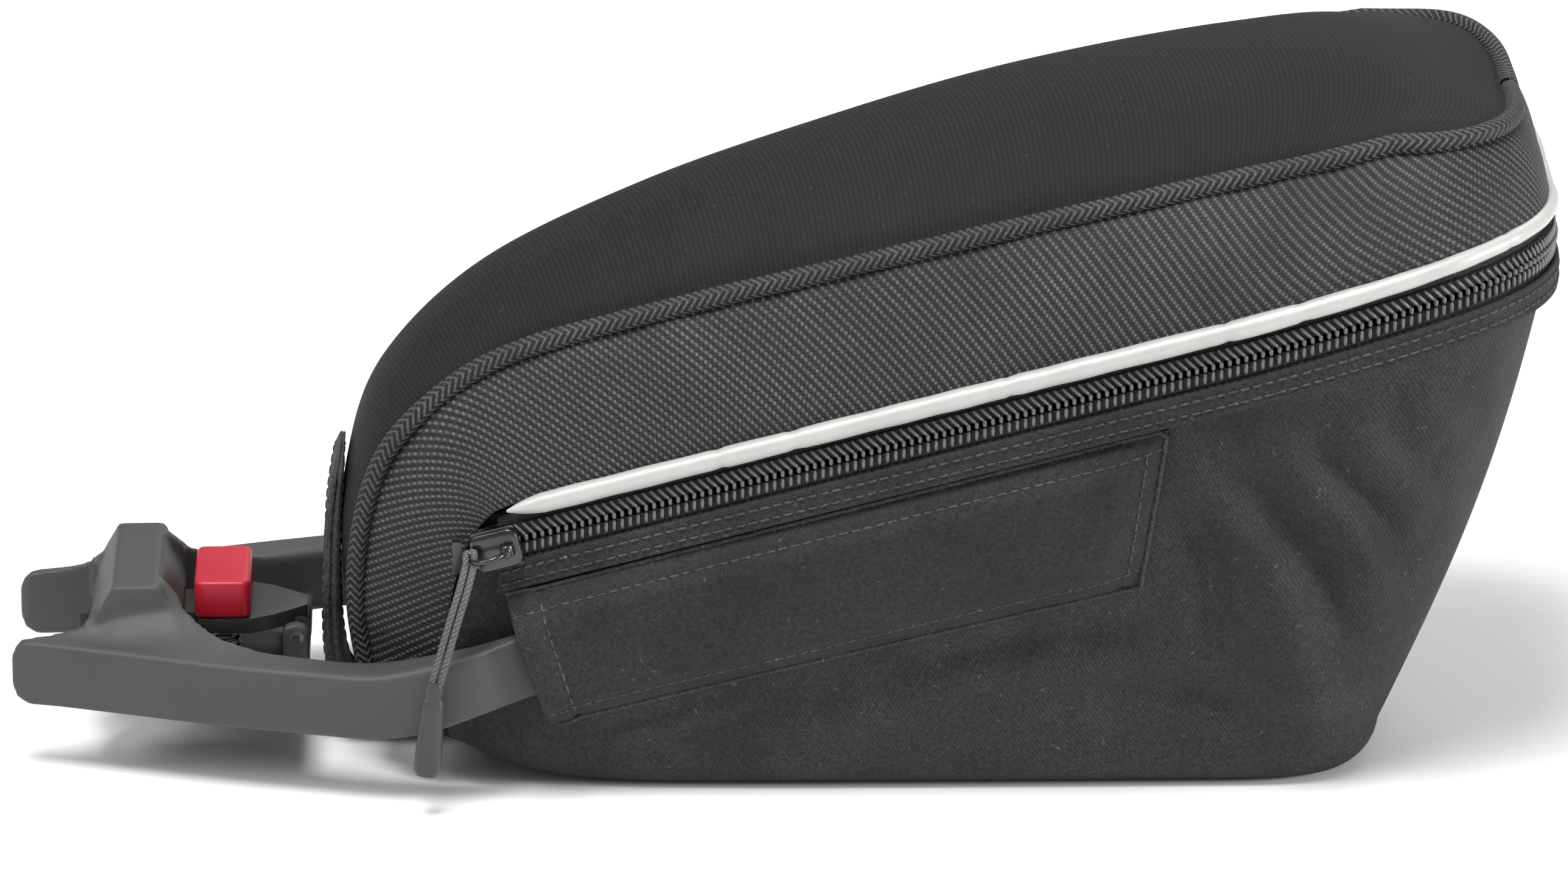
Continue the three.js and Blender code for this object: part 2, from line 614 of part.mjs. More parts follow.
let frame = toSolid(bridge).add(toSolid(floor));
for (const sign of [-1, 1]) {
  frame = frame.add(toSolid(loft(railStations.map((row) => railRing(row, sign)))));
  frame = frame.add(toSolid(ear(sign)));
}
const tunnel = block([-160, -8.6, FLOOR_TOP], [-130, 8.6, 31.5]);
frame = frame.subtract(toSolid(tunnel));
frame = frame.subtract(toSolid(crossBar(LEVER_PIN_RADIUS + GAP, pivotX, pivotZ, -12, 12)));
const springSeat = new THREE.CylinderGeometry(4.2, 4.2, 1.2, 16).rotateX(Math.PI / 2);
frame = frame.subtract(toSolid(springSeat.translate(-124, 0, FLOOR_TOP)));
for (const x of RIVET_X) {
  frame = frame.subtract(rivetHole(x, -1)).subtract(rivetHole(x, 1));
}
add('fork_frame', toGeometry(frame), 'plastic');

// ---------------------------------------------------------------- release lever and button

const leafShape = new THREE.Shape();
for (const side of [-1, 1]) {
  const outline = [
    [-151.5, 5], [-140, LEAF_NECK_HALF], [-131.9, LEAF_NECK_HALF], [-130.6, LEAF_HALF - 1.2],
    [-129.4, LEAF_HALF], [-119, LEAF_HALF], [-115.6, 10.1], [-113, 7.6],
    [pivotX - 3.8, LEVER_TAIL_HALF], [pivotX + 1.4, 3],
  ];
  const points = side < 0 ? outline : outline.reverse();
  points.forEach(([x, half], index) => {
    if (side < 0 && index === 0) leafShape.moveTo(x, side * half);
    else leafShape.lineTo(x, side * half);
  });
}
const leaf = new THREE.ExtrudeGeometry(leafShape, { depth: 3.4, bevelEnabled: false, curveSegments: 5 });
leaf.translate(0, 0, 27.2);
const knuckle = crossBar(3.2, pivotX, pivotZ, -LEVER_TAIL_HALF, LEVER_TAIL_HALF);
const nose = block([-156, -4.4, 25.6], [-148, 4.4, 29.6]);
let lever = toSolid(leaf).add(toSolid(knuckle)).add(toSolid(nose));
lever = lever.subtract(toSolid(crossBar(LEVER_PIN_RADIUS + GAP, pivotX, pivotZ, -12, 12)));
lever = lever.subtract(toSolid(block([-158, -6, 29.8], [-146, 6, 31])));
add('release_lever', toGeometry(lever), 'plastic');
add('lever_pin', crossBar(LEVER_PIN_RADIUS, pivotX, pivotZ, -EAR_HALF, EAR_HALF), 'metal');

const [buttonLow, buttonHigh] = BUTTON_X;
const buttonRing = (z, inset) => bridgeRing(
  z, buttonLow + inset, buttonHigh - inset, BUTTON_HALF - inset, 2.4,
);
const button = loft([
  buttonRing(BUTTON_Z[0], 0.5), buttonRing(BUTTON_Z[0] + 0.6, 0), buttonRing(37.2, 0),
  buttonRing(38.5, 0.7), buttonRing(BUTTON_Z[1], 2.2),
]);
add('release_button', button, 'button');

const SPRING = { x: -124, low: 18.4, high: 26.7, radius: 3, wire: 0.45, turns: 4 };
const springLine = new FunctionCurve((t) => {
  const angle = 2 * Math.PI * SPRING.turns * t;
  const z = lerp(SPRING.low + SPRING.wire, SPRING.high - SPRING.wire, t);
  return V(SPRING.x + SPRING.radius * Math.cos(angle), SPRING.radius * Math.sin(angle), z);
});
add('return_spring', tube(springLine, SPRING.wire, 48, 6), 'metal');

// ---------------------------------------------------------------- sleeves, plates and rivets

// Cloth pocket over each arm: it stands off over the blade and is sewn flat at three edges.
function sleevePoint(u, v) {
  const x = lerp(lerp(-61.5, -52, u), lerp(81, 76, u), v);
  const top = zipHeight(x) - 11.9;
  const low = zipHeight(x) - lerp(44.5, 49.5, v);
  const z = lerp(top, low, u);
  const rise = Math.min(1, Math.sin(Math.PI * u) * 1.7);
  const close = Math.min(1, (1 - v) * 14);
  return [x, z, rise * close];
}

for (const [side, sign] of [['left', -1], ['right', 1]]) {
  const surface = (u, v) => {
    const [x, z, rise] = sleevePoint(u, v);
    const arm = clamp((-50 - x) / 12, 0, 1) * 3.4;
    const half = wallHalf(x, z) + GAP + SLEEVE_CLOTH + 0.5 + (SLEEVE_STAND_OFF + arm) * rise;
    return V(x, sign * half, z);
  };
  add(`arm_sleeve_${side}`, sheet(surface, 9, 16, SLEEVE_CLOTH, -sign), 'panel');

  // Plate inside the bag that the arm is riveted to, through the wall.
  const plateRings = [-35, -22, 0, 25, 45, 62].map((x) => {
    const [high, low] = [armTop(x) - 1, armLow(x) + 1];
    const [outHigh, outLow] = [wallHalf(x, high), wallHalf(x, low)].map((half) => half - FABRIC - 1.1);
    return [
      V(x, sign * (outLow - PLATE), low), V(x, sign * outLow, low),
      V(x, sign * outHigh, high), V(x, sign * (outHigh - PLATE), high),
    ];
  });
  let plate = toSolid(loft(plateRings));
  for (const x of RIVET_X) plate = plate.subtract(rivetHole(x, -sign));
  add(`backing_plate_${side}`, toGeometry(plate), 'plastic');

  for (const [place, x] of [['front', RIVET_X[0]], ['rear', RIVET_X[1]]]) {
    const half = wallHalf(x, rivetZ(x));
    const [inner, outer] = [half - FABRIC - 1.1 - PLATE, half + 0.9 + BLADE];
    const [low, high] = sign > 0 ? [inner, outer] : [-outer, -inner];
    add(`arm_rivet_${side}_${place}`, crossBar(RIVET_RADIUS, x, rivetZ(x), low, high, 12), 'metal');
  }
}

// ---------------------------------------------------------------- zip slider and its pull

// The slider's own axes: along the zip towards the rear, out of the wall, and down across the zip.
const SLIDER_X = -62.8;
const sliderAlong = V(1, -ZIP_FLARE, ZIP_SLOPE).normalize();
const sliderOut = V(-ZIP_FLARE, -1, 0).normalize();
const sliderDown = sliderAlong.clone().cross(sliderOut);
const sliderPlace = new THREE.Matrix4().makeBasis(sliderAlong, sliderOut, sliderDown);
sliderPlace.setPosition(SLIDER_X, -zipHalf(SLIDER_X), zipHeight(SLIDER_X));

// Plate with cut corners, between two distances out of the wall.
function sliderPlate(length, height, outLow, outHigh) {
  const [l, h, c] = [length / 2, height / 2, 1.8];
  const outline = [
    [-l, -h + c], [-l + c, -h], [l - 2 * c, -h], [l, -h + 2 * c],
    [l, h - 2 * c], [l - 2 * c, h], [-l + c, h], [-l, h - c],
  ];
  return loft([outLow, outHigh].map((out) => outline.map(([along, across]) => V(along, out, across))));
}

const LUG_ALONG = 2.4;
const BAIL_OUT = 6.3;
let slider = toSolid(sliderPlate(13, 9.4, 2.6, 4.6));
slider = slider.add(toSolid(sliderPlate(11, 8, -3.6, -2.1)));
slider = slider.add(toSolid(block([-5, -2.4, -0.42], [-1.8, 2.9, 0.42])));
slider = slider.add(toSolid(block([LUG_ALONG - 1.8, 4.4, -1.1], [LUG_ALONG + 1.8, 8.1, 1.1])));
const lugHole = new THREE.CylinderGeometry(1.25, 1.25, 6, 12).rotateX(Math.PI / 2);
slider = slider.subtract(toSolid(lugHole.translate(LUG_ALONG, BAIL_OUT, 0)));
add('zip_slider', toGeometry(slider).applyMatrix4(sliderPlace), 'metal');

const BAIL_RADIUS = 3.9;
const BAIL_WIRE = 0.62;
const ring = new THREE.TorusGeometry(BAIL_RADIUS, BAIL_WIRE, 6, 20).rotateX(Math.PI / 2);
ring.translate(LUG_ALONG - BAIL_RADIUS, BAIL_OUT, 0);
add('pull_bail', ring.applyMatrix4(sliderPlace), 'metal');

// Flat cord from the bail's end to the moulded grip, both leaning out over the arm.
const bailEnd = V(LUG_ALONG - 2 * BAIL_RADIUS, BAIL_OUT, 0).applyMatrix4(sliderPlace);
const CORD_HALF = [1.6, 0.75];
const cordPath = [
  bailEnd.clone().add(V(-0.4, -1.8, 0)), V(-70.6, -50.6, 52), V(-73.6, -52.2, 43), V(-77, -53, 31.6),
];
const cordRings = cordPath.map((p) => {
  const [x, y] = CORD_HALF;
  return [V(p.x - x, p.y - y, p.z), V(p.x + x, p.y - y, p.z), V(p.x + x, p.y + y, p.z), V(p.x - x, p.y + y, p.z)];
});
add('pull_cord', loft(cordRings), 'cord');

const GRIP_TOP = V(-77.1, -53.1, 31.2);
const GRIP_LOW = V(-79.2, -53.6, 9.6);
const gripSizes = [[0, 1.6, 1.3], [0.07, 2.3, 1.8], [0.3, 2.6, 2], [0.75, 3, 2.2], [0.94, 2.7, 2], [1, 1.8, 1.3]];
const gripRings = gripSizes.map(([share, x, y]) => {
  const centre = GRIP_TOP.clone().lerp(GRIP_LOW, share);
  const points = [];
  for (let i = 0; i < 8; i += 1) {
    const angle = Math.PI / 8 + (i * Math.PI) / 4;
    points.push(centre.clone().add(V(x * Math.cos(angle), y * Math.sin(angle), 0)));
  }
  return points;
});
add('pull_grip', loft(gripRings), 'plastic');

// ---------------------------------------------------------------- front tab

// Doubled strap sewn to the bag's front at its pointed top, passing in front and under.
const TAB_HALF = 11;
const tabStations = [
  [-97.3, 69.2, 1.2, 3], [-97.9, 66, 1.8, 7.5], [-98.5, 62, 2.4, TAB_HALF], [-99.6, 52, 3.2, TAB_HALF],
  [-100.1, 41, 3.4, TAB_HALF], [-100.3, 30, 3.8, TAB_HALF], [-99.8, 20.5, 3.8, TAB_HALF],
  [-98, 13, 3.6, TAB_HALF], [-93, 9.2, 3.4, TAB_HALF], [-84.5, 7.2, 3, TAB_HALF],
];
const tabRings = tabStations.map(([x, z, thick, half], k) => {
  const [x0, z0] = tabStations[Math.max(0, k - 1)];
  const [x1, z1] = tabStations[Math.min(tabStations.length - 1, k + 1)];
  const across = new THREE.Vector2(z0 - z1, x1 - x0).normalize().multiplyScalar(thick / 2);
  return [[-1, -half], [1, -half], [1, half], [-1, half]].map(
    ([face, y]) => V(x + face * across.x, y, z + face * across.y),
  );
});
add('front_tab', loft(tabRings), 'cloth');

bag.updateMatrixWorld(true);
export default bag;
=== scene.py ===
"""Looks of a saddle bag with a fork mount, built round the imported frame."""

import math

import bmesh
import bpy
import numpy as np
from mathutils import Matrix, Vector


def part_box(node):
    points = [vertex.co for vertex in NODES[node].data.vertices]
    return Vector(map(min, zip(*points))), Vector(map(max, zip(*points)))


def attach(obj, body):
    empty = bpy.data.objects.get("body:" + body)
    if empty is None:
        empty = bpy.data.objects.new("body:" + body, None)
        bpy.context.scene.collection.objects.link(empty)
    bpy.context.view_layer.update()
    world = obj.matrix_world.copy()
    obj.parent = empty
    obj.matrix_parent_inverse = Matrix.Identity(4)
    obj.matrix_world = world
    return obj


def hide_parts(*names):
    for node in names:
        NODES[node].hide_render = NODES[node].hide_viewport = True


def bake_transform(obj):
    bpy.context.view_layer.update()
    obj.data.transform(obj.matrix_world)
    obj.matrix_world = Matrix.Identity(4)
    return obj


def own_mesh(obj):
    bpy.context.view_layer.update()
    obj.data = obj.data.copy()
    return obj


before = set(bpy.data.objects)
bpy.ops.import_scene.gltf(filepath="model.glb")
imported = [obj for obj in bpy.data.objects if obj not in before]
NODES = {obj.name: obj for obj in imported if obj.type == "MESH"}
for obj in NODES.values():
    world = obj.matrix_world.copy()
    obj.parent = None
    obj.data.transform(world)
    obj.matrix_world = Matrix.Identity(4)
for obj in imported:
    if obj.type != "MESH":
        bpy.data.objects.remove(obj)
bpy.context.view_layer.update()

bl_info = {
    "name": "Saddle Bag",
    "version": (1, 0, 0),
    "blender": (4, 5, 0),
    "location": "3D View > Sidebar > Saddle Bag",
    "description": "Builds the fork, cloth, zip and pull of a saddle bag",
    "category": "Object",
}

# ---------------------------------------------------------------- sizes, in millimetres

MM = 0.001

ZIP_HEIGHT = 77.7  # height of the zip's centre line at x = 0
ZIP_SLOPE = 0.305
ZIP_FRONT_X = -66
ZIP_FRONT_HALF = 40
ZIP_FLARE = 0.1358
ZIP_STRAIGHT_X = 96
ZIP_CORNER_X = 115
ZIP_CORNER_HALF = 62.8
ZIP_REAR_X = 166.7
ZIP_REAR_DIP = 9  # how far the zip dips from its straight slope at the rear centre
SEAM_REAR_LIFT = 2.2
CORNER_POWER = 0.66
SEAM_SHARE = 0.8  # share of a half rim that runs along the side
BASE_HALF = 42
BASE_CORNER_X = 98
BASE_REAR_X = 132
BASE_ROUND = 8
PIPING_RADIUS = 2.2
REFLECTIVE_RADIUS = 2.25
PIPING_LIFT = 7.5
ARM_DROP = 21  # top and bottom of the arms under the zip
ARM_DEPTH = 36
BLADE = 3.2

INSIDE = np.array([20.0, 0.0, 60.0])  # a point well inside the bag


# ---------------------------------------------------------------- curves and surfaces


def point(x, y, z):
    return np.stack(np.broadcast_arrays(x, y, z), -1).astype(float)


def ease(low, high, value):
    share = np.clip((value - low) / (high - low), 0, 1)
    return share * share * (3 - 2 * share)


def track(points):
    """A smooth curve through points that are spread evenly in its own parameter."""
    p = np.array(points, float)
    p = np.vstack([2 * p[0] - p[1], p, 2 * p[-1] - p[-2]])
    spans = len(points) - 1

    def at(t):
        t = np.clip(np.asarray(t, float), 0, 1) * spans
        k = np.minimum(t.astype(int), spans - 1)
        w = (t - k)[..., None]
        a, b, c, d = p[k], p[k + 1], p[k + 2], p[k + 3]
        leave, arrive = (c - a) / 2, (d - b) / 2
        return (
            (2 * w**3 - 3 * w**2 + 1) * b
            + (w**3 - 2 * w**2 + w) * leave
            + (3 * w**2 - 2 * w**3) * c
            + (w**3 - w**2) * arrive
        )

    return at


def zip_height(x):
    return ZIP_HEIGHT + ZIP_SLOPE * x


def corner(start_x, rear_x, half, turn):
    angle = np.clip(turn, 0, 1) * math.pi / 2
    x = start_x + (rear_x - start_x) * np.sin(angle) ** CORNER_POWER
    y = half * np.abs(np.cos(angle)) ** CORNER_POWER
    return x, np.where(turn >= 1, 0, y)


def zip_half(x):
    straight = ZIP_FRONT_HALF + ZIP_FLARE * (np.minimum(x, ZIP_STRAIGHT_X) - ZIP_FRONT_X)
    t = np.clip((x - ZIP_STRAIGHT_X) / (ZIP_CORNER_X - ZIP_STRAIGHT_X), 0, 1)
    return straight + (ZIP_CORNER_HALF - straight) * t * (2 - t)


def zip_line(t):
    """The zip's centre line on the left side: 0 at its front end, 1 at the rear centre."""
    t = np.asarray(t, float)
    turn = np.clip((t - SEAM_SHARE) / (1 - SEAM_SHARE), 0, 1)
    side_x = ZIP_FRONT_X + (ZIP_CORNER_X - ZIP_FRONT_X) * np.minimum(t / SEAM_SHARE, 1)
    rear_x, rear_half = corner(ZIP_CORNER_X, ZIP_REAR_X, ZIP_CORNER_HALF, turn)
    x = np.where(t < SEAM_SHARE, side_x, rear_x)
    half = np.where(t < SEAM_SHARE, zip_half(side_x), rear_half)
    return point(x, -half, zip_height(x) - ZIP_REAR_DIP * turn**2)


seam_side = track([
    (-91.5, -25.5, 20), (-94.5, -26, 40), (-92.3, -26.6, 61), (-84.5, -27.8, 79.5),
    (-64, -30, 97), (-30, -34, 109), (10, -38.8, 120.3), (50, -43.2, 131.2),
    (90, -46.3, 141.3), (115, -46.6, 146.8), (130, -44.5, 149.8),
])

crown_line = track([
    (-94.2, 0, 19.5), (-97.3, 0, 40), (-96.3, 0, 62), (-88.5, 0, 85), (-66, 0, 108),
    (-30, 0, 126.5), (12, 0, 140.5), (54, 0, 152), (98, 0, 160), (130, 0, 161), (158.5, 0, 147.5),
])

edge_side = track([
    (-75.5, -35, 10.5), (-75.2, -36, 30), (-71.5, -37.8, 50), (-66.8, -39.8, 61.5),
    (-58, -41.1, 67.5), (-28, -45.2, 76.7), (4, -49.5, 86.4), (38, -54.1, 96.8),
    (72, -58.7, 107.2), (96, -62, 114.5), (115, -62.8, 120.3),
])

foot_side = track([
    (-75, -35, 9), (-63, -37.4, 4), (-48, -39, 0.9), (-28, -40.3, 0), (0, -41.2, 0),
    (30, -41.6, 0), (60, -41.9, 0), (BASE_CORNER_X, -BASE_HALF, 0),
])


def seam_line(t):
    """The seam between top panel and gusset."""
    t = np.asarray(t, float)
    turn = np.clip((t - SEAM_SHARE) / (1 - SEAM_SHARE), 0, 1)
    side = seam_side(t / SEAM_SHARE)
    end, rear = seam_side(1.0), crown_line(1.0)
    x, half = corner(end[0], rear[0], -end[1], turn)
    z = end[2] + (rear[2] - end[2]) * (x - end[0]) / (rear[0] - end[0])
    z = z + SEAM_REAR_LIFT * np.sin(math.pi * turn)
    return np.where((t < SEAM_SHARE)[..., None], side, point(x, -half, z))


def edge_line(t):
    """The gusset's lower edge, up the front and along the reflective piping."""
    t = np.asarray(t, float)
    rear = zip_line(t) + np.array([0, 0, PIPING_LIFT])
    return np.where((t < SEAM_SHARE)[..., None], edge_side(t / SEAM_SHARE), rear)


def foot_line(t):
    t = np.asarray(t, float)
    side = foot_side(t / SEAM_SHARE)
    side[..., 2] = np.maximum(side[..., 2], 0)
    x, half = corner(BASE_CORNER_X, BASE_REAR_X, BASE_HALF, (t - SEAM_SHARE) / (1 - SEAM_SHARE))
    return np.where((t < SEAM_SHARE)[..., None], side, point(x, -half, 0 * x))


def whole_rim(half):
    """A rim from the left front end (0) round the rear (0.5) to the right front end (1)."""

    def at(t):
        t = np.asarray(t, float)
        line = half(np.where(t <= 0.5, 2 * t, 2 - 2 * t))
        line[..., 1] *= np.where(t <= 0.5, 1, -1)
        return line

    return at


seam_rim = whole_rim(seam_line)
edge_rim = whole_rim(edge_line)
zip_rim = whole_rim(zip_line)


def even(line, low, high, count):
    """Parameters that step evenly along a line's length."""
    t = np.linspace(low, high, 4000)
    steps = np.linalg.norm(np.diff(line(t), axis=0), axis=1)
    length = np.concatenate([[0], np.cumsum(steps)])
    return np.interp(np.linspace(0, length[-1], count), length, t)


def length_of(points):
    steps = np.linalg.norm(np.diff(points, axis=0), axis=1)
    return np.concatenate([[0], np.cumsum(steps)])


def unit(vectors):
    return vectors / np.maximum(np.linalg.norm(vectors, axis=-1, keepdims=True), 1e-12)


def zip_frames(t):
    """Centre, direction along, and direction out of the wall, along the zip."""
    centre = zip_rim(t)
    along = unit(zip_rim(np.minimum(t + 0.002, 1)) - zip_rim(np.maximum(t - 0.002, 0)))
    out = unit(point(along[..., 1], -along[..., 0], 0 * along[..., 0]))
    return centre, along, out


def top_point(across, t):
    """Outer face of the top cloth: across runs -1 to 1, t from the foot of the front to the rear."""
    seam = seam_side(t)
    crown = crown_line(t)
    rear = np.clip((t - 0.9) / 0.1, 0, 1)
    c = np.abs(across)
    angle = np.arccos(np.clip(c, 0, 1) ** (1 / CORNER_POWER))
    corner_share = np.sin(angle) ** CORNER_POWER
    x = seam[..., 0] + (crown[..., 0] - seam[..., 0]) * ((1 - c**2.5) * (1 - rear) + corner_share * rear)
    y = np.abs(seam[..., 1]) * across
    z = seam[..., 2] + (crown[..., 2] - seam[..., 2]) * ((1 - c**2.2) * (1 - rear) + corner_share * rear)
    arch = SEAM_REAR_LIFT * rear * np.sin(2 * angle)
    return point(x, y, z + arch)


def wall_half(x, z):
    top = zip_height(x) - 5
    share = np.clip((top - z) / (top - BASE_ROUND), 0, 1)
    return zip_half(x) + (BASE_HALF - 0.6 - zip_half(x)) * share


def wall_point(t, drop):
    """Outer face of the left side wall: drop runs from under the zip (0) to the base cloth (1)."""
    front = np.clip(1 - t / 0.12, 0, 1)
    top = zip_line(t) + point(-3.8 * front, 0 * t, -5 - 3.8 * ZIP_SLOPE * front)
    foot = foot_line(t)
    ahead = foot_line(np.minimum(t + 0.004, 1)) - foot_line(np.maximum(t - 0.004, 0))
    into = unit(point(-ahead[..., 1], ahead[..., 0], 0 * ahead[..., 0]))
    start = foot + np.array([0, 0, BASE_ROUND])
    share = np.clip(drop / 0.8, 0, 1)[..., None]
    bow = point(-3.8 * np.sin(math.pi * share[..., 0]) * front, 0 * t, 0 * t)
    straight = top + (start - top) * share + bow
    angle = np.clip((drop - 0.8) / 0.2, 0, 1)[..., None] * math.pi / 2
    lift = np.array([0, 0, BASE_ROUND]) * (1 - np.sin(angle))
    turned = foot + into * BASE_ROUND * (1 - np.cos(angle)) + lift
    return np.where((drop <= 0.8)[..., None], straight, turned)


# ---------------------------------------------------------------- meshes


def new_mesh(name, vertices, faces, uv=None):
    """A mesh object from millimetres; uv holds one pair for each corner of each face, in metres."""
    mesh = bpy.data.meshes.new(name)
    mesh.from_pydata((np.asarray(vertices) * MM).tolist(), [], [list(map(int, f)) for f in faces])
    if uv is not None:
        layer = mesh.uv_layers.new(name="cloth")
        layer.data.foreach_set("uv", np.asarray(uv, np.float32).ravel())
    mesh.polygons.foreach_set("use_smooth", [True] * len(mesh.polygons))
    mesh.update()
    piece = bpy.data.objects.new(name, mesh)
    bpy.context.scene.collection.objects.link(piece)
    return piece


def normals_of(grid):
    """Unit normals of a grid of points, pointing away from the inside of the bag."""
    normal = unit(np.cross(np.gradient(grid, axis=0), np.gradient(grid, axis=1)))
    side = 1 if np.sum(normal * (grid - INSIDE)) > 0 else -1
    return normal * side, side


def cloth_piece(name, grid, uv, thickness):
    """A cloth of even thickness whose outer face is the grid. uv is in millimetres of cloth."""
    normal, side = normals_of(grid)
    rows, columns = grid.shape[:2]
    vertices = np.vstack([grid.reshape(-1, 3), (grid - normal * thickness).reshape(-1, 3)])
    index = np.arange(rows * columns).reshape(rows, columns)
    quads = np.stack([index[:-1, :-1], index[1:, :-1], index[1:, 1:], index[:-1, 1:]], -1).reshape(-1, 4)
    rim = np.concatenate([index[:-1, 0], index[-1, :-1], index[:0:-1, -1], index[0, :0:-1]])
    after = np.roll(rim, -1)
    inner = rows * columns
    band = np.stack([after, rim, rim + inner, after + inner], -1)
    if side < 0:
        quads, band = quads[:, ::-1], band[:, ::-1]
    faces = np.vstack([quads, quads[:, ::-1] + inner, band])
    flat = np.vstack([uv.reshape(-1, 2)] * 2) * MM
    piece = new_mesh(name, vertices, faces, flat[faces.ravel()])
    soften(piece, 40)
    return piece


def ring_piece(name, rings, smooth_angle=50):
    """A closed body through rings of points, flat at its ends, with uv along and around it."""
    rings = np.asarray(rings, float)
    count, sides = rings.shape[:2]
    index = np.arange(count * sides).reshape(count, sides)
    after = np.roll(index, -1, axis=1)
    quads = np.stack([index[:-1], after[:-1], after[1:], index[1:]], -1).reshape(-1, 4)
    along = length_of(rings.mean(1))
    girth = np.linalg.norm(np.roll(rings, -1, axis=1) - rings, axis=2).mean(0)
    turn = np.concatenate([[0], np.cumsum(girth)])
    low_u, high_u = along[:-1, None], along[1:, None]
    low_v, high_v = turn[None, :-1], turn[None, 1:]
    pairs = ((low_u, low_v), (low_u, high_v), (high_u, high_v), (high_u, low_v))
    uv = np.stack([np.stack(np.broadcast_arrays(*pair), -1) for pair in pairs], 2)
    faces = [list(q) for q in quads] + [list(index[0][::-1]), list(index[-1])]
    corners = np.vstack([uv.reshape(-1, 2), np.zeros((2 * sides, 2))]) * MM
    a, b, c, d = (rings.reshape(-1, 3)[quads[:, k]] for k in range(4))
    volume = np.sum(a * np.cross(b, c)) + np.sum(a * np.cross(c, d))
    if volume < 0:
        blocks = np.split(corners, [4 * len(quads)])
        flipped = blocks[0].reshape(-1, 4, 2)[:, ::-1].reshape(-1, 2)
        corners = np.vstack([flipped, blocks[1]])
        faces = [f[::-1] for f in faces]
    piece = new_mesh(name, rings.reshape(-1, 3), faces, corners)
    soften(piece, smooth_angle)
    return piece


def tube_piece(name, centres, radius, sides=12, up=(0, 0, 1)):
    """A round tube along a line. radius is one number or one for each point."""
    centres = np.asarray(centres, float)
    radius = np.broadcast_to(np.asarray(radius, float), (len(centres),))
    along = unit(np.gradient(centres, axis=0))
    across = unit(np.cross(along, np.array(up, float)))
    rise = np.cross(across, along)
    angle = np.linspace(0, 2 * math.pi, sides, endpoint=False)
    ring = np.cos(angle)[None, :, None] * across[:, None] + np.sin(angle)[None, :, None] * rise[:, None]
    return ring_piece(name, centres[:, None] + ring * radius[:, None, None])


def select_only(*pieces):
    """In object mode, selects only these pieces and makes the first one active."""
    if bpy.context.object and bpy.context.object.mode != "OBJECT":
        bpy.ops.object.mode_set(mode="OBJECT")
    bpy.ops.object.select_all(action="DESELECT")
    for piece in pieces:
        piece.select_set(True)
    bpy.context.view_layer.objects.active = pieces[0] if pieces else None


def soften(piece, degrees):
    select_only(piece)
    bpy.ops.object.shade_smooth_by_angle(angle=math.radians(degrees))


def add_modifier(piece, kind, **settings):
    """Adds one modifier, sets it and applies it."""
    select_only(piece)
    bpy.ops.object.modifier_add(type=kind)
    modifier = piece.modifiers[-1]
    for key, value in settings.items():
        setattr(modifier, key, value)
    bpy.ops.object.modifier_apply(modifier=modifier.name)


def join(name, pieces):
    select_only(*pieces)
    bpy.ops.object.join()
    joined = bpy.context.object
    joined.name = name
    joined.data.name = name
    return joined


def primitive(name, maker, **options):
    """A primitive added at its size and place, with its place in its mesh."""
    select_only()
    maker(**options)
    piece = bpy.context.object
    piece.name = name
    piece.data.name = name
    bpy.ops.object.transform_apply(location=True, rotation=True, scale=True)
    return piece


def block(name, low, high):
    low, high = np.array(low, float), np.array(high, float)
    centre, size = (low + high) / 2 * MM, (high - low) * MM
    return primitive(name, bpy.ops.mesh.primitive_cube_add, size=1, location=tuple(centre), scale=tuple(size))


def pick(piece, kind, test):
    """In edit mode, selects only the faces or edges for which test(centre, direction) is true."""
    select_only(piece)
    bpy.ops.object.mode_set(mode="EDIT")
    bpy.ops.mesh.select_mode(type="FACE" if kind == "faces" else "EDGE")
    bpy.ops.mesh.select_all(action="DESELECT")
    mesh = bmesh.from_edit_mesh(piece.data)
    for part in mesh.faces if kind == "faces" else mesh.edges:
        if kind == "faces":
            centre, direction = part.calc_center_median(), part.normal
        else:
            ends = [v.co for v in part.verts]
            centre, direction = (ends[0] + ends[1]) / 2, (ends[1] - ends[0]).normalized()
        if test(centre / MM, direction):
            part.select_set(True)
    bmesh.update_edit_mesh(piece.data)


def round_edges(piece, test, radius, segments):
    pick(piece, "edges", test)
    bpy.ops.mesh.bevel(offset=radius * MM, segments=segments)
    bpy.ops.object.mode_set(mode="OBJECT")


def upright(centre, direction):
    """Whether an edge or face points along z."""
    return abs(direction.z) > 0.9


# ---------------------------------------------------------------- stitches and teeth

STITCH_SPACING = 2.7
STITCH_LIFT = 0.05
STITCH_SIZE = (2.1, 0.55, 0.5)  # length, width and height


def bead(length, width, height, sides=6):
    """A low capsule along x, a few dozen faces, as vertices and faces."""
    stations = np.array([-0.5, -0.4, -0.15, 0.15, 0.4, 0.5]) * length
    swell = np.array([0.25, 0.8, 1, 1, 0.8, 0.25])
    angle = np.linspace(0, 2 * math.pi, sides, endpoint=False)
    rings = np.stack([
        np.stack([np.full(sides, x), np.cos(angle) * width / 2 * s, np.sin(angle) * height / 2 * s], -1)
        for x, s in zip(stations, swell)
    ])
    index = np.arange(len(stations) * sides).reshape(len(stations), sides)
    after = np.roll(index, -1, axis=1)
    quads = np.stack([index[:-1], index[1:], after[1:], after[:-1]], -1).reshape(-1, 4)
    return rings.reshape(-1, 3), [list(q) for q in quads] + [list(index[0]), list(index[-1][::-1])]


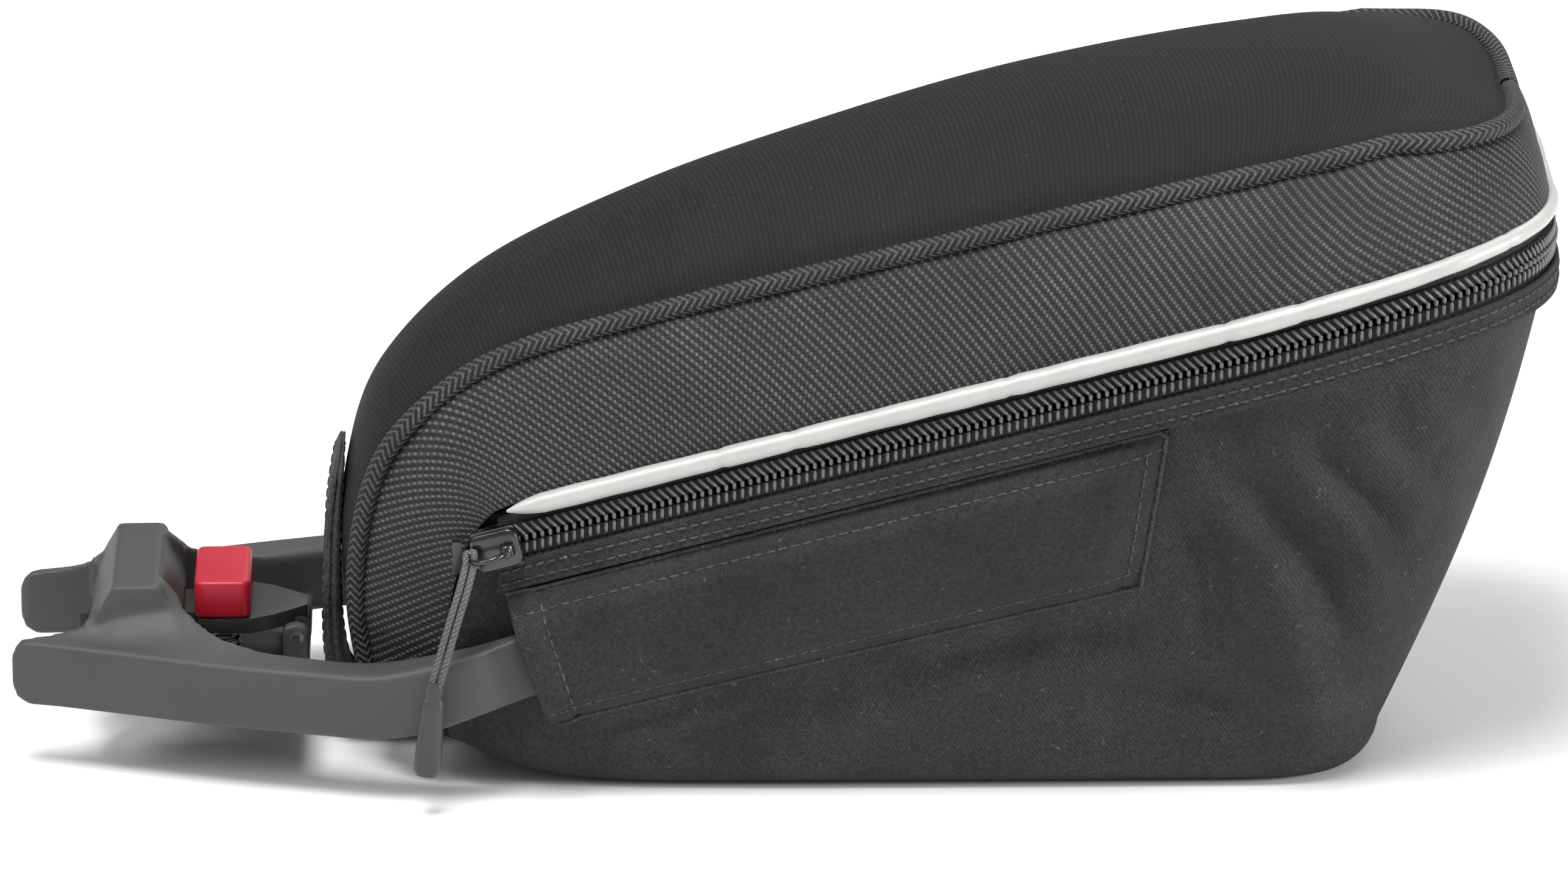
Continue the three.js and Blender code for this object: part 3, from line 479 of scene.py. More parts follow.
def scatter(name, shape, places, along, out):
    """Copies of one small shape, turned so that its x lies along and its z points out."""
    vertices, faces = shape
    along = unit(along)
    out = unit(out - along * np.sum(out * along, -1, keepdims=True))
    side = np.cross(out, along)
    turned = (
        vertices[None, :, 0:1] * along[:, None]
        + vertices[None, :, 1:2] * side[:, None]
        + vertices[None, :, 2:3] * out[:, None]
    ) + places[:, None]
    step = len(vertices)
    all_faces = [[corner_index + k * step for corner_index in face] for k in range(len(places)) for face in faces]
    return new_mesh(name, turned.reshape(-1, 3), all_faces)


def stitch_line(line, normal):
    """Places, directions and normals of a row of stitches along a line."""
    at = length_of(line)
    count = max(2, int(at[-1] / STITCH_SPACING))
    stops = (np.arange(count) + 0.5) * at[-1] / count

    def look_up(stops, values):
        return np.stack([np.interp(stops, at, values[:, k]) for k in range(3)], -1)

    out = unit(look_up(stops, normal))
    along = look_up(stops + 0.3, line) - look_up(stops - 0.3, line)
    return look_up(stops, line) + out * STITCH_LIFT, along, out


def stitching(name, rows):
    places, along, out = (np.vstack(part) for part in zip(*[stitch_line(*row) for row in rows]))
    return scatter(name, bead(*STITCH_SIZE), places, along, out)


# ---------------------------------------------------------------- finishes


class Finish:
    """Builds one node material round a Principled shader."""

    def __init__(self, name, roughness, metallic=0.0, specular=0.5):
        self.material = bpy.data.materials.new(name)
        self.material.use_nodes = True
        self.tree = self.material.node_tree
        self.tree.nodes.clear()
        self.shader = self.tree.nodes.new("ShaderNodeBsdfPrincipled")
        output = self.tree.nodes.new("ShaderNodeOutputMaterial")
        self.tree.links.new(self.shader.outputs["BSDF"], output.inputs["Surface"])
        self.shader.inputs["Roughness"].default_value = roughness
        self.shader.inputs["Metallic"].default_value = metallic
        self.shader.inputs["Specular IOR Level"].default_value = specular
        self.coordinates = self.tree.nodes.new("ShaderNodeTexCoord")

    def link(self, value, socket):
        if isinstance(value, bpy.types.NodeSocket):
            self.tree.links.new(value, socket)
        elif isinstance(value, (int, float)):
            socket.default_value = value
        else:
            socket.default_value = (*value[:3], 1.0)

    def math(self, operation, first, second=0.5, clamp=False):
        node = self.tree.nodes.new("ShaderNodeMath")
        node.operation = operation
        node.use_clamp = clamp
        self.link(first, node.inputs[0])
        self.link(second, node.inputs[1])
        return node.outputs[0]

    def mix(self, share, low, high):
        node = self.tree.nodes.new("ShaderNodeMix")
        node.data_type = "RGBA"
        self.link(share, node.inputs["Factor"])
        self.link(low, node.inputs[6])
        self.link(high, node.inputs[7])
        return node.outputs[2]

    def blend_values(self, share, low, high):
        node = self.tree.nodes.new("ShaderNodeMix")
        node.data_type = "FLOAT"
        self.link(share, node.inputs["Factor"])
        self.link(low, node.inputs[2])
        self.link(high, node.inputs[3])
        return node.outputs[0]

    def scale(self, value, gain, offset, clamp=False):
        """value * gain + offset"""
        result = self.math("MULTIPLY_ADD", value, gain, clamp)
        result.node.inputs[2].default_value = offset
        return result

    def contrast(self, value, gain):
        """Spreads a value out round one half, kept between 0 and 1."""
        return self.scale(value, gain, 0.5 - 0.5 * gain, True)

    def noise(self, scale, detail, roughness=0.5, stretch=(1, 1, 1)):
        mapping = self.tree.nodes.new("ShaderNodeMapping")
        mapping.inputs["Scale"].default_value = stretch
        self.tree.links.new(self.coordinates.outputs["Object"], mapping.inputs["Vector"])
        node = self.tree.nodes.new("ShaderNodeTexNoise")
        node.inputs["Scale"].default_value = scale
        node.inputs["Detail"].default_value = detail
        node.inputs["Roughness"].default_value = roughness
        self.tree.links.new(mapping.outputs["Vector"], node.inputs["Vector"])
        return node.outputs["Fac"]

    def threads(self, pitch, turn=0.0):
        """Cloth coordinates counted in threads, turned by an angle in degrees."""
        mapping = self.tree.nodes.new("ShaderNodeMapping")
        mapping.inputs["Rotation"].default_value = (0, 0, math.radians(turn))
        mapping.inputs["Scale"].default_value = (1 / pitch, 1 / pitch, 1)
        mapping.inputs["Location"].default_value = (1000, 1000, 0)
        self.tree.links.new(self.coordinates.outputs["UV"], mapping.inputs["Vector"])
        split = self.tree.nodes.new("ShaderNodeSeparateXYZ")
        self.tree.links.new(mapping.outputs["Vector"], split.inputs[0])
        return split.outputs["X"], split.outputs["Y"]

    def weave(self, pitch):
        """Height of a plain weave, and whether the warp lies on top."""
        u, v = self.threads(pitch)
        total = self.math("ADD", self.math("FLOOR", u), self.math("FLOOR", v))
        warp = self.math("LESS_THAN", self.math("MODULO", total, 2), 0.5)
        across_u, across_v = (
            self.math("ABSOLUTE", self.math("SINE", self.math("MULTIPLY", way, math.pi))) for way in (u, v)
        )
        over = self.math("MULTIPLY", across_u, self.scale(across_v, 0.4, 0.6))
        under = self.math("MULTIPLY", across_v, self.scale(across_u, 0.4, 0.6))
        return self.blend_values(warp, under, over), warp

    def bump(self, height, distance, strength, under=None):
        node = self.tree.nodes.new("ShaderNodeBump")
        node.inputs["Distance"].default_value = distance
        node.inputs["Strength"].default_value = strength
        self.link(height, node.inputs["Height"])
        if under is not None:
            self.link(under, node.inputs["Normal"])
        return node.outputs["Normal"]

    def done(self, colour=None, roughness=None, normal=None):
        if colour is not None:
            self.link(colour, self.shader.inputs["Base Color"])
        if roughness is not None:
            self.link(roughness, self.shader.inputs["Roughness"])
        if normal is not None:
            self.link(normal, self.shader.inputs["Normal"])
        return self.material


def shade(colour, factor):
    return tuple(min(1.0, c * factor) for c in colour[:3])


def moulded_plastic(name, colour, roughness=0.5, grain=0.00002):
    finish = Finish(name, roughness, specular=0.35)
    mottling = finish.noise(60, 4)
    tone = finish.mix(mottling, shade(colour, 0.86), shade(colour, 1.14))
    gloss = finish.scale(mottling, 0.14, roughness - 0.07)
    return finish.done(tone, gloss, finish.bump(finish.noise(2600, 2), grain, 0.6))


def marked(finish, marks, colour, darker, lighter, gloss, depth, strength):
    """Colour, gloss and bump that all follow one set of marks. gloss is its spread and its least."""
    tone = finish.mix(marks, shade(colour, darker), shade(colour, lighter))
    return finish.done(tone, finish.scale(marks, *gloss), finish.bump(marks, depth, strength))


def brushed_metal(name, colour):
    finish = Finish(name, 0.32, metallic=1.0)
    streaks = finish.noise(900, 3, stretch=(1, 0.15, 1))
    return marked(finish, streaks, colour, 0.8, 1.15, (0.2, 0.22), 0.00001, 0.4)


def lacquer(name, colour):
    finish = Finish(name, 0.24, specular=0.7)
    finish.shader.inputs["Coat Weight"].default_value = 0.4
    finish.shader.inputs["Coat Roughness"].default_value = 0.15
    return marked(finish, finish.noise(500, 5, 0.7), colour, 0.75, 1.4, (0.2, 0.2), 0.00002, 0.4)


def woven_cloth(name, light, dark, pitch, depth=0.00025, slant=0.32, chevron=0.0):
    """A coarse weave: floats in a checker, joined into slanting ridges or chevrons. Its light and dark are painted
    light: a painted highlight on the raised floats and a painted shade in the gaps and under the crossing threads.
    """
    finish = Finish(name, 0.68, specular=0.35)
    height, warp = finish.weave(pitch)
    u, v = finish.threads(pitch)
    if chevron:
        v = finish.math("PINGPONG", v, chevron)
    wave = finish.math("COSINE", finish.math("MULTIPLY", finish.math("ADD", u, v), math.pi))
    ridge = finish.scale(wave, -0.5, 0.5)
    # Painted highlight: the higher a thread's crown and the more it floats on top, the lighter it is.
    lit = finish.math("MULTIPLY", finish.math("POWER", height, 1.8), finish.blend_values(warp, 0.22, 1.0))
    share = finish.blend_values(slant, lit, finish.math("POWER", ridge, 2.4))
    yarn = finish.contrast(finish.noise(1700, 2), 2.2)
    share = finish.math("MULTIPLY", share, finish.scale(yarn, 0.9, 0.5), clamp=True)
    patches = finish.contrast(finish.noise(55, 4), 2.0)
    # Runs from painted shade in the gaps to painted highlight on the floats.
    tone = finish.mix(share, dark, light)
    tone = finish.mix(finish.math("MULTIPLY", patches, 0.4), tone, shade(dark, 0.8))
    return finish.done(tone, None, finish.bump(share, depth, 1.0))


def smooth_cloth(name, colour, pitch, depth=0.00008, turn=45, rib=0.5, crumple=0.0, worn=0.5):
    """A fine cloth with slight slanting ribs, patches, fuzz and lint, and soft crumples if wanted."""
    finish = Finish(name, 0.8, specular=0.25)
    u, _ = finish.threads(pitch, turn)
    ribs = finish.math("ABSOLUTE", finish.math("SINE", finish.math("MULTIPLY", u, math.pi)))
    fuzz = finish.contrast(finish.noise(1250, 3, 0.65), 2.6)
    patches = finish.contrast(finish.noise(42, 5, 0.6), 2.2)
    lint = finish.math("GREATER_THAN", finish.noise(620, 2), 0.72)
    tone = finish.math("MULTIPLY", finish.scale(patches, worn, 1 - worn / 2), finish.scale(ribs, rib, 1 - 0.6 * rib))
    tone = finish.math("MULTIPLY", tone, finish.scale(fuzz, 1.3, 0.4))
    tone = finish.math("ADD", tone, finish.math("MULTIPLY", lint, 1.6))
    share = finish.math("MULTIPLY", tone, 0.25, clamp=True)
    tone = finish.mix(share, (0, 0, 0), shade(colour, 4))
    height = finish.scale(ribs, 0.6, 0)
    finish.link(fuzz, height.node.inputs[2])
    under = None
    if crumple:
        under = finish.bump(finish.noise(26, 3, 0.45, (1, 1, 0.7)), crumple, 1.0)
    return finish.done(tone, finish.scale(fuzz, 0.2, 0.66), finish.bump(height, depth, 0.9, under))


def reflective_film(name, colour):
    finish = Finish(name, 0.42, metallic=0.15, specular=0.6)
    beads = finish.noise(3200, 2)
    creases = finish.noise(160, 4, 0.65)
    tone = finish.mix(creases, shade(colour, 0.82), shade(colour, 1.08))
    tone = finish.mix(finish.math("MULTIPLY", beads, 0.25), tone, shade(colour, 0.8))
    rough = finish.bump(creases, 0.0004, 0.5)
    return finish.done(tone, None, finish.bump(beads, 0.00003, 0.4, rough))


def coil_plastic(name, colour):
    finish = Finish(name, 0.34, specular=0.6)
    return marked(finish, finish.noise(900, 3), colour, 0.7, 1.5, (0.25, 0.22), 0.00003, 0.5)


def foam_rubber(name, colour):
    finish = Finish(name, 0.95, specular=0.2)
    cells = finish.tree.nodes.new("ShaderNodeTexVoronoi")
    cells.inputs["Scale"].default_value = 1200
    finish.tree.links.new(finish.coordinates.outputs["Object"], cells.inputs["Vector"])
    tone = finish.mix(cells.outputs["Distance"], shade(colour, 0.6), shade(colour, 1.1))
    return finish.done(tone, None, finish.bump(cells.outputs["Distance"], 0.0002, 0.7))


_finishes = {}


def finish_for(key):
    """The material of that name, made on first use from the colours in the panel."""
    colours = bpy.context.scene.saddle_bag_colours
    if key not in _finishes:
        makers = {
            "fork": lambda: moulded_plastic("fork_plastic", colours.fork, 0.52),
            "leaf": lambda: moulded_plastic("leaf_plastic", shade(colours.fork, 0.5), 0.42),
            "button": lambda: moulded_plastic("button_plastic", colours.button, 0.38, 0.00001),
            "steel": lambda: brushed_metal("bright_steel", (0.5, 0.5, 0.51)),
            "slider": lambda: lacquer("slider_lacquer", colours.slider),
            "top": lambda: smooth_cloth("top_cloth_rib", colours.top, 0.00115, turn=-14, rib=0.85, worn=0.35),
            # The weave's two colours are painted light: a painted highlight on the raised threads and a painted
            # shade in the gaps.
            "weave": lambda: woven_cloth("ballistic_weave", colours.weave_highlight, colours.weave_gap_shade, 0.00103),
            "side": lambda: smooth_cloth("side_twill", colours.side, 0.0007, depth=0.0001, turn=40),
            # The walls are the side cloth lightened 1.3 times, painted light over the whole wall; the crumple is a
            # bump.
            "wall": lambda: smooth_cloth(
                "wall_twill_painted_light", shade(colours.side, 1.3), 0.0007, depth=0.0001, turn=40, crumple=0.006, worn=0.6
            ),
            "tab": lambda: smooth_cloth("tab_twill", shade(colours.side, 2.4), 0.0006, turn=90),
            # The hem is the side cloth lightened 1.9 times, a painted highlight along the sleeve's raised edge.
            "hem": lambda: smooth_cloth("hem_twill_painted_highlight", shade(colours.side, 1.9), 0.0005, turn=20),
            # The piping's weave also carries the painted highlight on its threads and the painted shade in its gaps.
            "piping": lambda: woven_cloth(
                "piping_weave", shade(colours.weave_highlight, 0.9), colours.weave_gap_shade, 0.0009, slant=0.75, chevron=2.4
            ),
            "reflective": lambda: reflective_film("reflective_film", colours.reflective),
            "coil": lambda: coil_plastic("coil_nylon", colours.coil),
            "tape": lambda: smooth_cloth("zip_tape_rib", colours.tape, 0.0006, depth=0.00012, turn=90),
            "thread": lambda: smooth_cloth("sewing_thread", colours.thread, 0.0003),
            # The cord colour lightened and darkened: a painted highlight on the braid's crowns and a painted shade
            # between them.
            "cord": lambda: woven_cloth(
                "braided_cord", shade(colours.cord, 1.35), shade(colours.cord, 0.35), 0.0006, depth=0.00015
            ),
            "grip": lambda: moulded_plastic("grip_rubber", colours.grip, 0.4, 0.00001),
            "board": lambda: moulded_plastic("board_plastic", (0.02, 0.02, 0.021), 0.6),
            "foam": lambda: foam_rubber("lid_foam", (0.16, 0.16, 0.165)),
        }
        _finishes[key] = makers[key]()
    return _finishes[key]


def dress(piece, key):
    piece.data.materials.clear()
    piece.data.materials.append(finish_for(key))


def settle(piece, key, body, replaces=()):
    """Gives a piece its finish and lets it ride on its body, or bakes its place into its mesh for "fold"."""
    dress(piece, key)
    if body == "fold":
        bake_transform(piece)
    else:
        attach(piece, body)
    if replaces:
        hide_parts(*replaces)


# ---------------------------------------------------------------- fork

RAIL_STATIONS = [  # x, inner and outer half-width, bottom, top, edge round
    (-170.4, 20.8, 21.8, 19.5, 26, 0.6),
    (-169.5, 20.2, 22.4, 16.8, 28.4, 0.9),
    (-167, 20, 23.2, 15, 30, 1.2),
    (-160, 20, 25.2, 15, 30, 1.4),
    (-148, 20, 29.4, 15, 30, 1.5),
    (-137, 20, 33.4, 15, 30, 1.6),
    (-126.5, 24.3, 37.3, 15, 30, 1.8),
    (-115, 29.2, 40.8, 15, 30, 1.8),
    (-106, 32.6, 43.2, 15, 30, 1.8),
    (-97, 35.4, 45.8, 15, 30, 1.8),
    (-90.5, 36.8, 47.4, 15, 30.2, 1.8),
    (-85, 37.8, 48, 15.7, 31.2, 1.8),
    (-78, 39.2, 48.4, zip_height(-78) - ARM_DEPTH - 1, zip_height(-78) - ARM_DROP, 1.7),
    (-68, 41.8, 49, zip_height(-68) - ARM_DEPTH, zip_height(-68) - ARM_DROP, 1.6),
]
HUMP_PROFILE = [  # x and height of the hump along the inner edge of a rail
    (-170, 29.4), (-166, 30.1), (-160.5, 31.2), (-154.4, 33.4), (-150.8, 36.6), (-149.3, 39.1),
    (-147.8, 41.6), (-137.6, 41.6), (-136.2, 40.6), (-132.5, 36.6), (-128.5, 33.8), (-124, 31.6),
    (-118, 30.2), (-112, 29.6),
]
HUMP_EDGE = [  # x and half-width where the hump starts to sweep down
    (-170, 20), (-154, 19.6), (-148, 16.2), (-137.6, 16.4), (-132, 19.5), (-126.5, 24.6), (-112, 30.6),
]
BRIDGE_SIDE = [  # front and rear outline of the bridge between the rails, as x and z
    (-153.6, 15.3), (-153.6, 28.6), (-153.1, 31.2), (-152.3, 33.4), (-150.9, 36.5), (-149.4, 39.1),
    (-147.9, 41.7), (-138.2, 41.8), (-137.2, 40.6), (-135.4, 36.4), (-133.9, 33), (-133, 30.4),
    (-133, 15.3),
]


def rounded_section(low_half, high_half, low, high, radius):
    """A rectangle with rounded corners, as half-width and height."""
    centres = [
        (high_half - radius, high - radius, 0),
        (low_half + radius, high - radius, 90),
        (low_half + radius, low + radius, 180),
        (high_half - radius, low + radius, 270),
    ]
    ring = []
    for half, z, start in centres:
        for turn in (0, 30, 60, 90):
            angle = math.radians(start + turn)
            ring.append((half + radius * math.cos(angle), z + radius * math.sin(angle)))
    return ring


def rail(side):
    stations = [list(row) for row in RAIL_STATIONS]
    for x in (-56, -40, -20, 0, 20, 40, 60, 70):
        trim = 4 if x == 70 else 0
        low, high = zip_height(x) - ARM_DEPTH + trim, zip_height(x) - ARM_DROP - trim
        inner = float(wall_half(x, low)) + 0.9
        stations.append([x, inner, inner + BLADE, low, high, 0.9])
    table = np.array(stations)
    fine = np.concatenate([[-170.4, -170, -169.5, -168.6, -167.6], np.arange(-166.5, 70, 1.0), [70]])
    columns = [np.interp(fine, table[:, 0], table[:, k]) for k in range(1, 6)]
    kernel = np.hanning(11)[1:-1]
    kernel /= kernel.sum()
    body = slice(12, -12)
    for column in columns:
        smooth = np.convolve(column, kernel, mode="same")
        column[body] = smooth[body]
    rings = []
    for x, inner, outer, low, high, radius in zip(fine, *columns):
        section = rounded_section(inner, outer, low, high, min(radius, (outer - inner) / 2.2))
        share = min(max((x + 68) / 12, 0), 1)
        lean = share * float(wall_half(x, high) - wall_half(x, low)) / (high - low)
        rings.append([(x, side * (half + lean * (z - low)), z) for half, z in section])
    return ring_piece("rail", rings)


def hump_flank(side):
    """The concave sweep from the hump down to a rail's outer top edge."""
    profile, edge, rails = np.array(HUMP_PROFILE), np.array(HUMP_EDGE), np.array(RAIL_STATIONS)
    rings = []
    for x in np.arange(-168.5, -112, 0.7):
        height = np.interp(x, profile[:, 0], profile[:, 1])
        start = np.interp(x, edge[:, 0], edge[:, 1])
        outer = np.interp(x, rails[:, 0], rails[:, 2]) - 1.4
        inner = start - 3 if -153.4 < x < -133 else start
        halves = np.linspace(inner, outer, 14)
        share = np.clip((halves - start) / (outer - start), 0, 1)
        tops = 29.9 + (height - 29.9) * (1 - share) ** 1.9
        upper = [(x, side * half, top) for half, top in zip(halves, tops)]
        rings.append([(x, side * inner, 22), *upper, (x, side * outer, 22)])
    return ring_piece("hump_flank", rings)


def bridge_part(low_half, high_half, floor):
    """The bridge's side outline, carried across from one half-width to another."""
    outline = [(x, max(z, floor)) for x, z in BRIDGE_SIDE]
    rings = [[(x, y, z) for x, z in outline] for y in np.linspace(low_half, high_half, 5)]
    return ring_piece("bridge", rings)


class SADDLE_OT_fork(bpy.types.Operator):
    """Builds the moulded fork: two rails with their arms, the hump, the floor and the lever's ears"""

    bl_idname = "saddle_bag.fork"
    bl_label = "Fork"

    def execute(self, context):
        sizes = context.scene.saddle_bag_sizes
        parts = []
        for side in (-1, 1):
            parts += [rail(side), hump_flank(side)]
            low, high = sorted((side * 8.7, side * 20.6))
            parts.append(bridge_part(low, high, 0))
            ear_low, ear_high = sorted((side * 5.95, side * 9.4))
            ear = block("ear", (-111.2, ear_low, 17), (-105.4, ear_high, 28))
            round_edges(ear, lambda c, d: c.z > 27 and abs(d.y) > 0.9, 2.2, 4)
            parts.append(ear)
        parts.append(bridge_part(-9, 9, 31.5))
        floor = [(-134.4, 21), (-126.5, 25.5), (-115, 30.4), (-105.4, 33.6)]
        outline = [(x, -half) for x, half in floor] + floor[::-1]
        levels = [[(x, y, z) for x, y in outline] for z in (15.3, 18.6)]
        parts.append(ring_piece("floor", levels))
        fork = join("fork", parts)
        add_modifier(fork, "REMESH", mode="VOXEL", voxel_size=sizes.fork_detail, use_smooth_shade=True)
        add_modifier(fork, "SMOOTH", factor=0.5, iterations=3)
        soften(fork, 60)
        settle(fork, "fork", "body", ["fork_frame"])
        return {"FINISHED"}


# ---------------------------------------------------------------- release lever

SPRING_WIRE = 0.45
SPRING_TURNS = 4


def draw_out(move, size, centre_height):
    """Extrudes the picked faces and resizes them about a centre on the lever's axis."""
    bpy.ops.mesh.extrude_region_move(TRANSFORM_OT_translate={"value": [m * MM for m in move]})
    bpy.ops.transform.resize(value=size, center_override=(0, 0, centre_height * MM))


class SADDLE_OT_release(bpy.types.Operator):
    """Builds the release lever's leaf, the button on it and the spring under it"""

    bl_idname = "saddle_bag.release"
    bl_label = "Release Lever and Button"

    def execute(self, context):
        leaf = block("lever_leaf", (-129.6, -11.6, 27.2), (-118, 11.6, 30.6))
        pick(leaf, "faces", lambda c, d: d.x > 0.9)
        for reach, shrink in ((4.6, 0.8), (3.4, 0.72), (4.4, 0.42)):
            draw_out((reach, 0, 0), (1, shrink, 1), 28.9)
        pick(leaf, "faces", lambda c, d: d.x < -0.9)
        bpy.ops.mesh.inset(thickness=0.01 * MM)
        bpy.ops.transform.resize(value=(1, 0.65, 1), center_override=(0, 0, 28.9 * MM))
        draw_out((-21.9, 0, 0), (1, 0.66, 1), 28.9)
        draw_out((-4.5, 0, -1.2), (1, 0.85, 0.8), 27.7)
        knuckle = primitive(
            "knuckle", bpy.ops.mesh.primitive_cylinder_add, radius=3.2 * MM, depth=10.8 * MM, vertices=40,
            location=(-0.108, 0, 0.0252), rotation=(math.pi / 2, 0, 0),
        )
        leaf = join("lever_leaf", [leaf, knuckle])
        add_modifier(leaf, "BEVEL", width=0.5 * MM, segments=3, limit_method="ANGLE")
        soften(leaf, 35)
        settle(leaf, "leaf", "lever", ["release_lever"])

        button = block("button_cap", (-130.4, -11.8, 30.6), (-118, 11.8, 39.2))
        pick(button, "faces", lambda c, d: d.z > 0.9)
        bpy.ops.mesh.inset(thickness=1.7 * MM)
        bpy.ops.transform.translate(value=(0, 0, 0.25 * MM))
        round_edges(button, upright, 2.2, 5)
        add_modifier(
            button, "BEVEL", width=0.9 * MM, segments=4, limit_method="ANGLE", angle_limit=math.radians(25),
        )
        soften(button, 40)
        settle(button, "button", "lever", ["release_button"])

        low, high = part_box("return_spring")
        middle = (low + high) / 2 / MM
        foot, top = low.z / MM + SPRING_WIRE, high.z / MM - SPRING_WIRE
        turn = np.linspace(0, 1, 140)
        angle = 2 * math.pi * SPRING_TURNS * turn
        helix = point(middle.x + 3 * np.cos(angle), middle.y + 3 * np.sin(angle), foot + (top - foot) * turn)
        spring = tube_piece("spring_coil", helix, SPRING_WIRE, 8)
        settle(spring, "steel", "body", ["return_spring"])
        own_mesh(spring)
        return {"FINISHED"}


# ---------------------------------------------------------------- lid and front cloth


class SADDLE_OT_top_panel(bpy.types.Operator):
    """Builds the top cloth, one panel from the foot of the bag's front to the rear of its lid"""

    bl_idname = "saddle_bag.top_panel"
    bl_label = "Top Panel"

    def execute(self, context):
        across = np.sin(np.linspace(-math.pi / 2, math.pi / 2, 57))[:, None]
        t = np.linspace(0.0, 0.997, 190)[None, :]
        rear = np.clip((t - 0.9) / 0.1, 0, 1)
        reach = 1 - (1.5 - 1.3 * rear) / np.abs(seam_side(t)[..., 1])
        grid = top_point(across * reach, t + 0 * across)
        normal, _ = normals_of(grid)
        to_seam = (1 - np.abs(across)) * np.abs(seam_side(t)[..., 1])
        sink = (1.1 - 0.8 * rear) * np.exp(-((to_seam / 2.6) ** 2))
        length = length_of(grid[28])
        ripple = np.sin(length[None, :] / 4.3 + 3 * np.sin(length[None, :] / 31))
        pucker = 0.22 * np.exp(-((to_seam / 7) ** 2)) * ripple
        sag = 0.5 * np.sin(length[None, :] / 27) * np.cos(across * 1.4) * (1 - np.abs(across) ** 3)
        grid = grid + normal * (pucker + sag - sink)[..., None]
        uv = np.stack([np.broadcast_to(length[None, :], grid.shape[:2]), grid[..., 1]], -1)
        panel = cloth_piece("top_cloth", grid, uv, 1.5)
        settle(panel, "top", "fold", ["top_panel", "top_panel_fold", "front_panel"])
        return {"FINISHED"}


class SADDLE_OT_gusset(bpy.types.Operator):
    """Builds the woven gusset between the top panel and the zip, round the whole bag"""

    bl_idname = "saddle_bag.gusset"
    bl_label = "Gusset"

    def execute(self, context):
        t = even(seam_rim, 0.0, 1.0, 421)
        top, low = seam_rim(t), edge_rim(t)
        share = np.concatenate([[0.03, 0.07], np.linspace(0.12, 0.84, 12), [0.9, 0.94, 0.975]])[:, None, None]
        ahead = unit(np.gradient(low, axis=0))
        width = np.linalg.norm(top - low, axis=1)[None, :, None]
        out = unit(np.cross(ahead, top - low))
        if np.sum(out * (low - INSIDE)) < 0:
            out = -out
        length = length_of(top)[None, :, None]
        from_seam, from_edge = (1 - share) * width, share * width
        bulge = 1.5 * np.sin(math.pi * share) - 1.5 * np.exp(-((from_seam / 2.2) ** 2))
        pucker = 0.25 * np.sin(length / 3.7 + 2.5 * np.sin(length / 23)) * (
            np.exp(-((from_seam / 6) ** 2)) + 0.7 * np.exp(-((from_edge / 6) ** 2))
        )
        ripple = 0.35 * np.sin(length / 19 + 2 * share) * np.sin(math.pi * share)
        grid = low + (top - low) * share + out * (bulge + pucker + ripple)
        along = length_of((top + low) / 2)[None, :]
        uv = np.stack([along + 0 * share[..., 0], share[..., 0] * width[..., 0]], -1)
        gusset = cloth_piece("gusset_cloth", grid, uv, 1.4)
        settle(gusset, "weave", "fold", [
            "lid_gusset", "gusset_fold_left", "gusset_fold_right", "gusset_front_left", "gusset_front_right",
        ])
        return {"FINISHED"}


class SADDLE_OT_pipings(bpy.types.Operator):
    """Builds the woven cord piping along the seam and the reflective piping over the zip"""

    bl_idname = "saddle_bag.pipings"
    bl_label = "Pipings"

    def execute(self, context):
        t = even(seam_rim, 0.001, 0.999, 380)
        line = seam_rim(t)
        length = length_of(line)
        radius = PIPING_RADIUS * (1 + 0.025 * np.sin(length / 3.1) + 0.02 * np.sin(length / 7.7 + 1))
        cord = tube_piece("cord_piping", line, radius, 14, up=(0, 1, 0.01))
        settle(cord, "piping", "fold", ["lid_piping", "piping_front_left", "piping_front_right"])

        t = even(zip_rim, 0.011, 0.989, 420)
        centre, _, out = zip_frames(t)
        line = centre + out * (1.2 - 1.3 * ease(120, 160, centre[:, :1])) + np.array([0, 0, PIPING_LIFT])
        length = length_of(line)
        from_end = np.minimum(length, length[-1] - length)
        radius = REFLECTIVE_RADIUS * np.clip(from_end / 8, 0.04, 1) ** 0.6
        radius = radius * (1 + 0.025 * np.sin(length / 2.6 + 2 * np.sin(length / 17)))
        radius = radius * (1 - 0.22 * ease(90, 160, line[:, 0]))
        pinches = [38 * k + 12 * math.sin(2.1 * k) for k in range(1, int(length[-1] / 38))]
        radius = radius * (1 - sum(0.16 * np.exp(-(((length - p) / 0.9) ** 2)) for p in pinches))
        edge = tube_piece("reflective_edge", line, radius, 16)
        settle(edge, "reflective", "lid", ["reflective_piping"])
        return {"FINISHED"}


# ---------------------------------------------------------------- zip


def zip_band(name, section):
    """A band along the zip whose section is a ring of (out, up) pairs from the centre line."""
    centre, _, out = zip_frames(even(zip_rim, 0.006, 0.994, 300))
    up = np.array([0, 0, 1.0])
    rings = [[c + o * pair[0] + up * pair[1] for pair in section] for c, o in zip(centre, out)]
    return ring_piece(name, rings, smooth_angle=40)


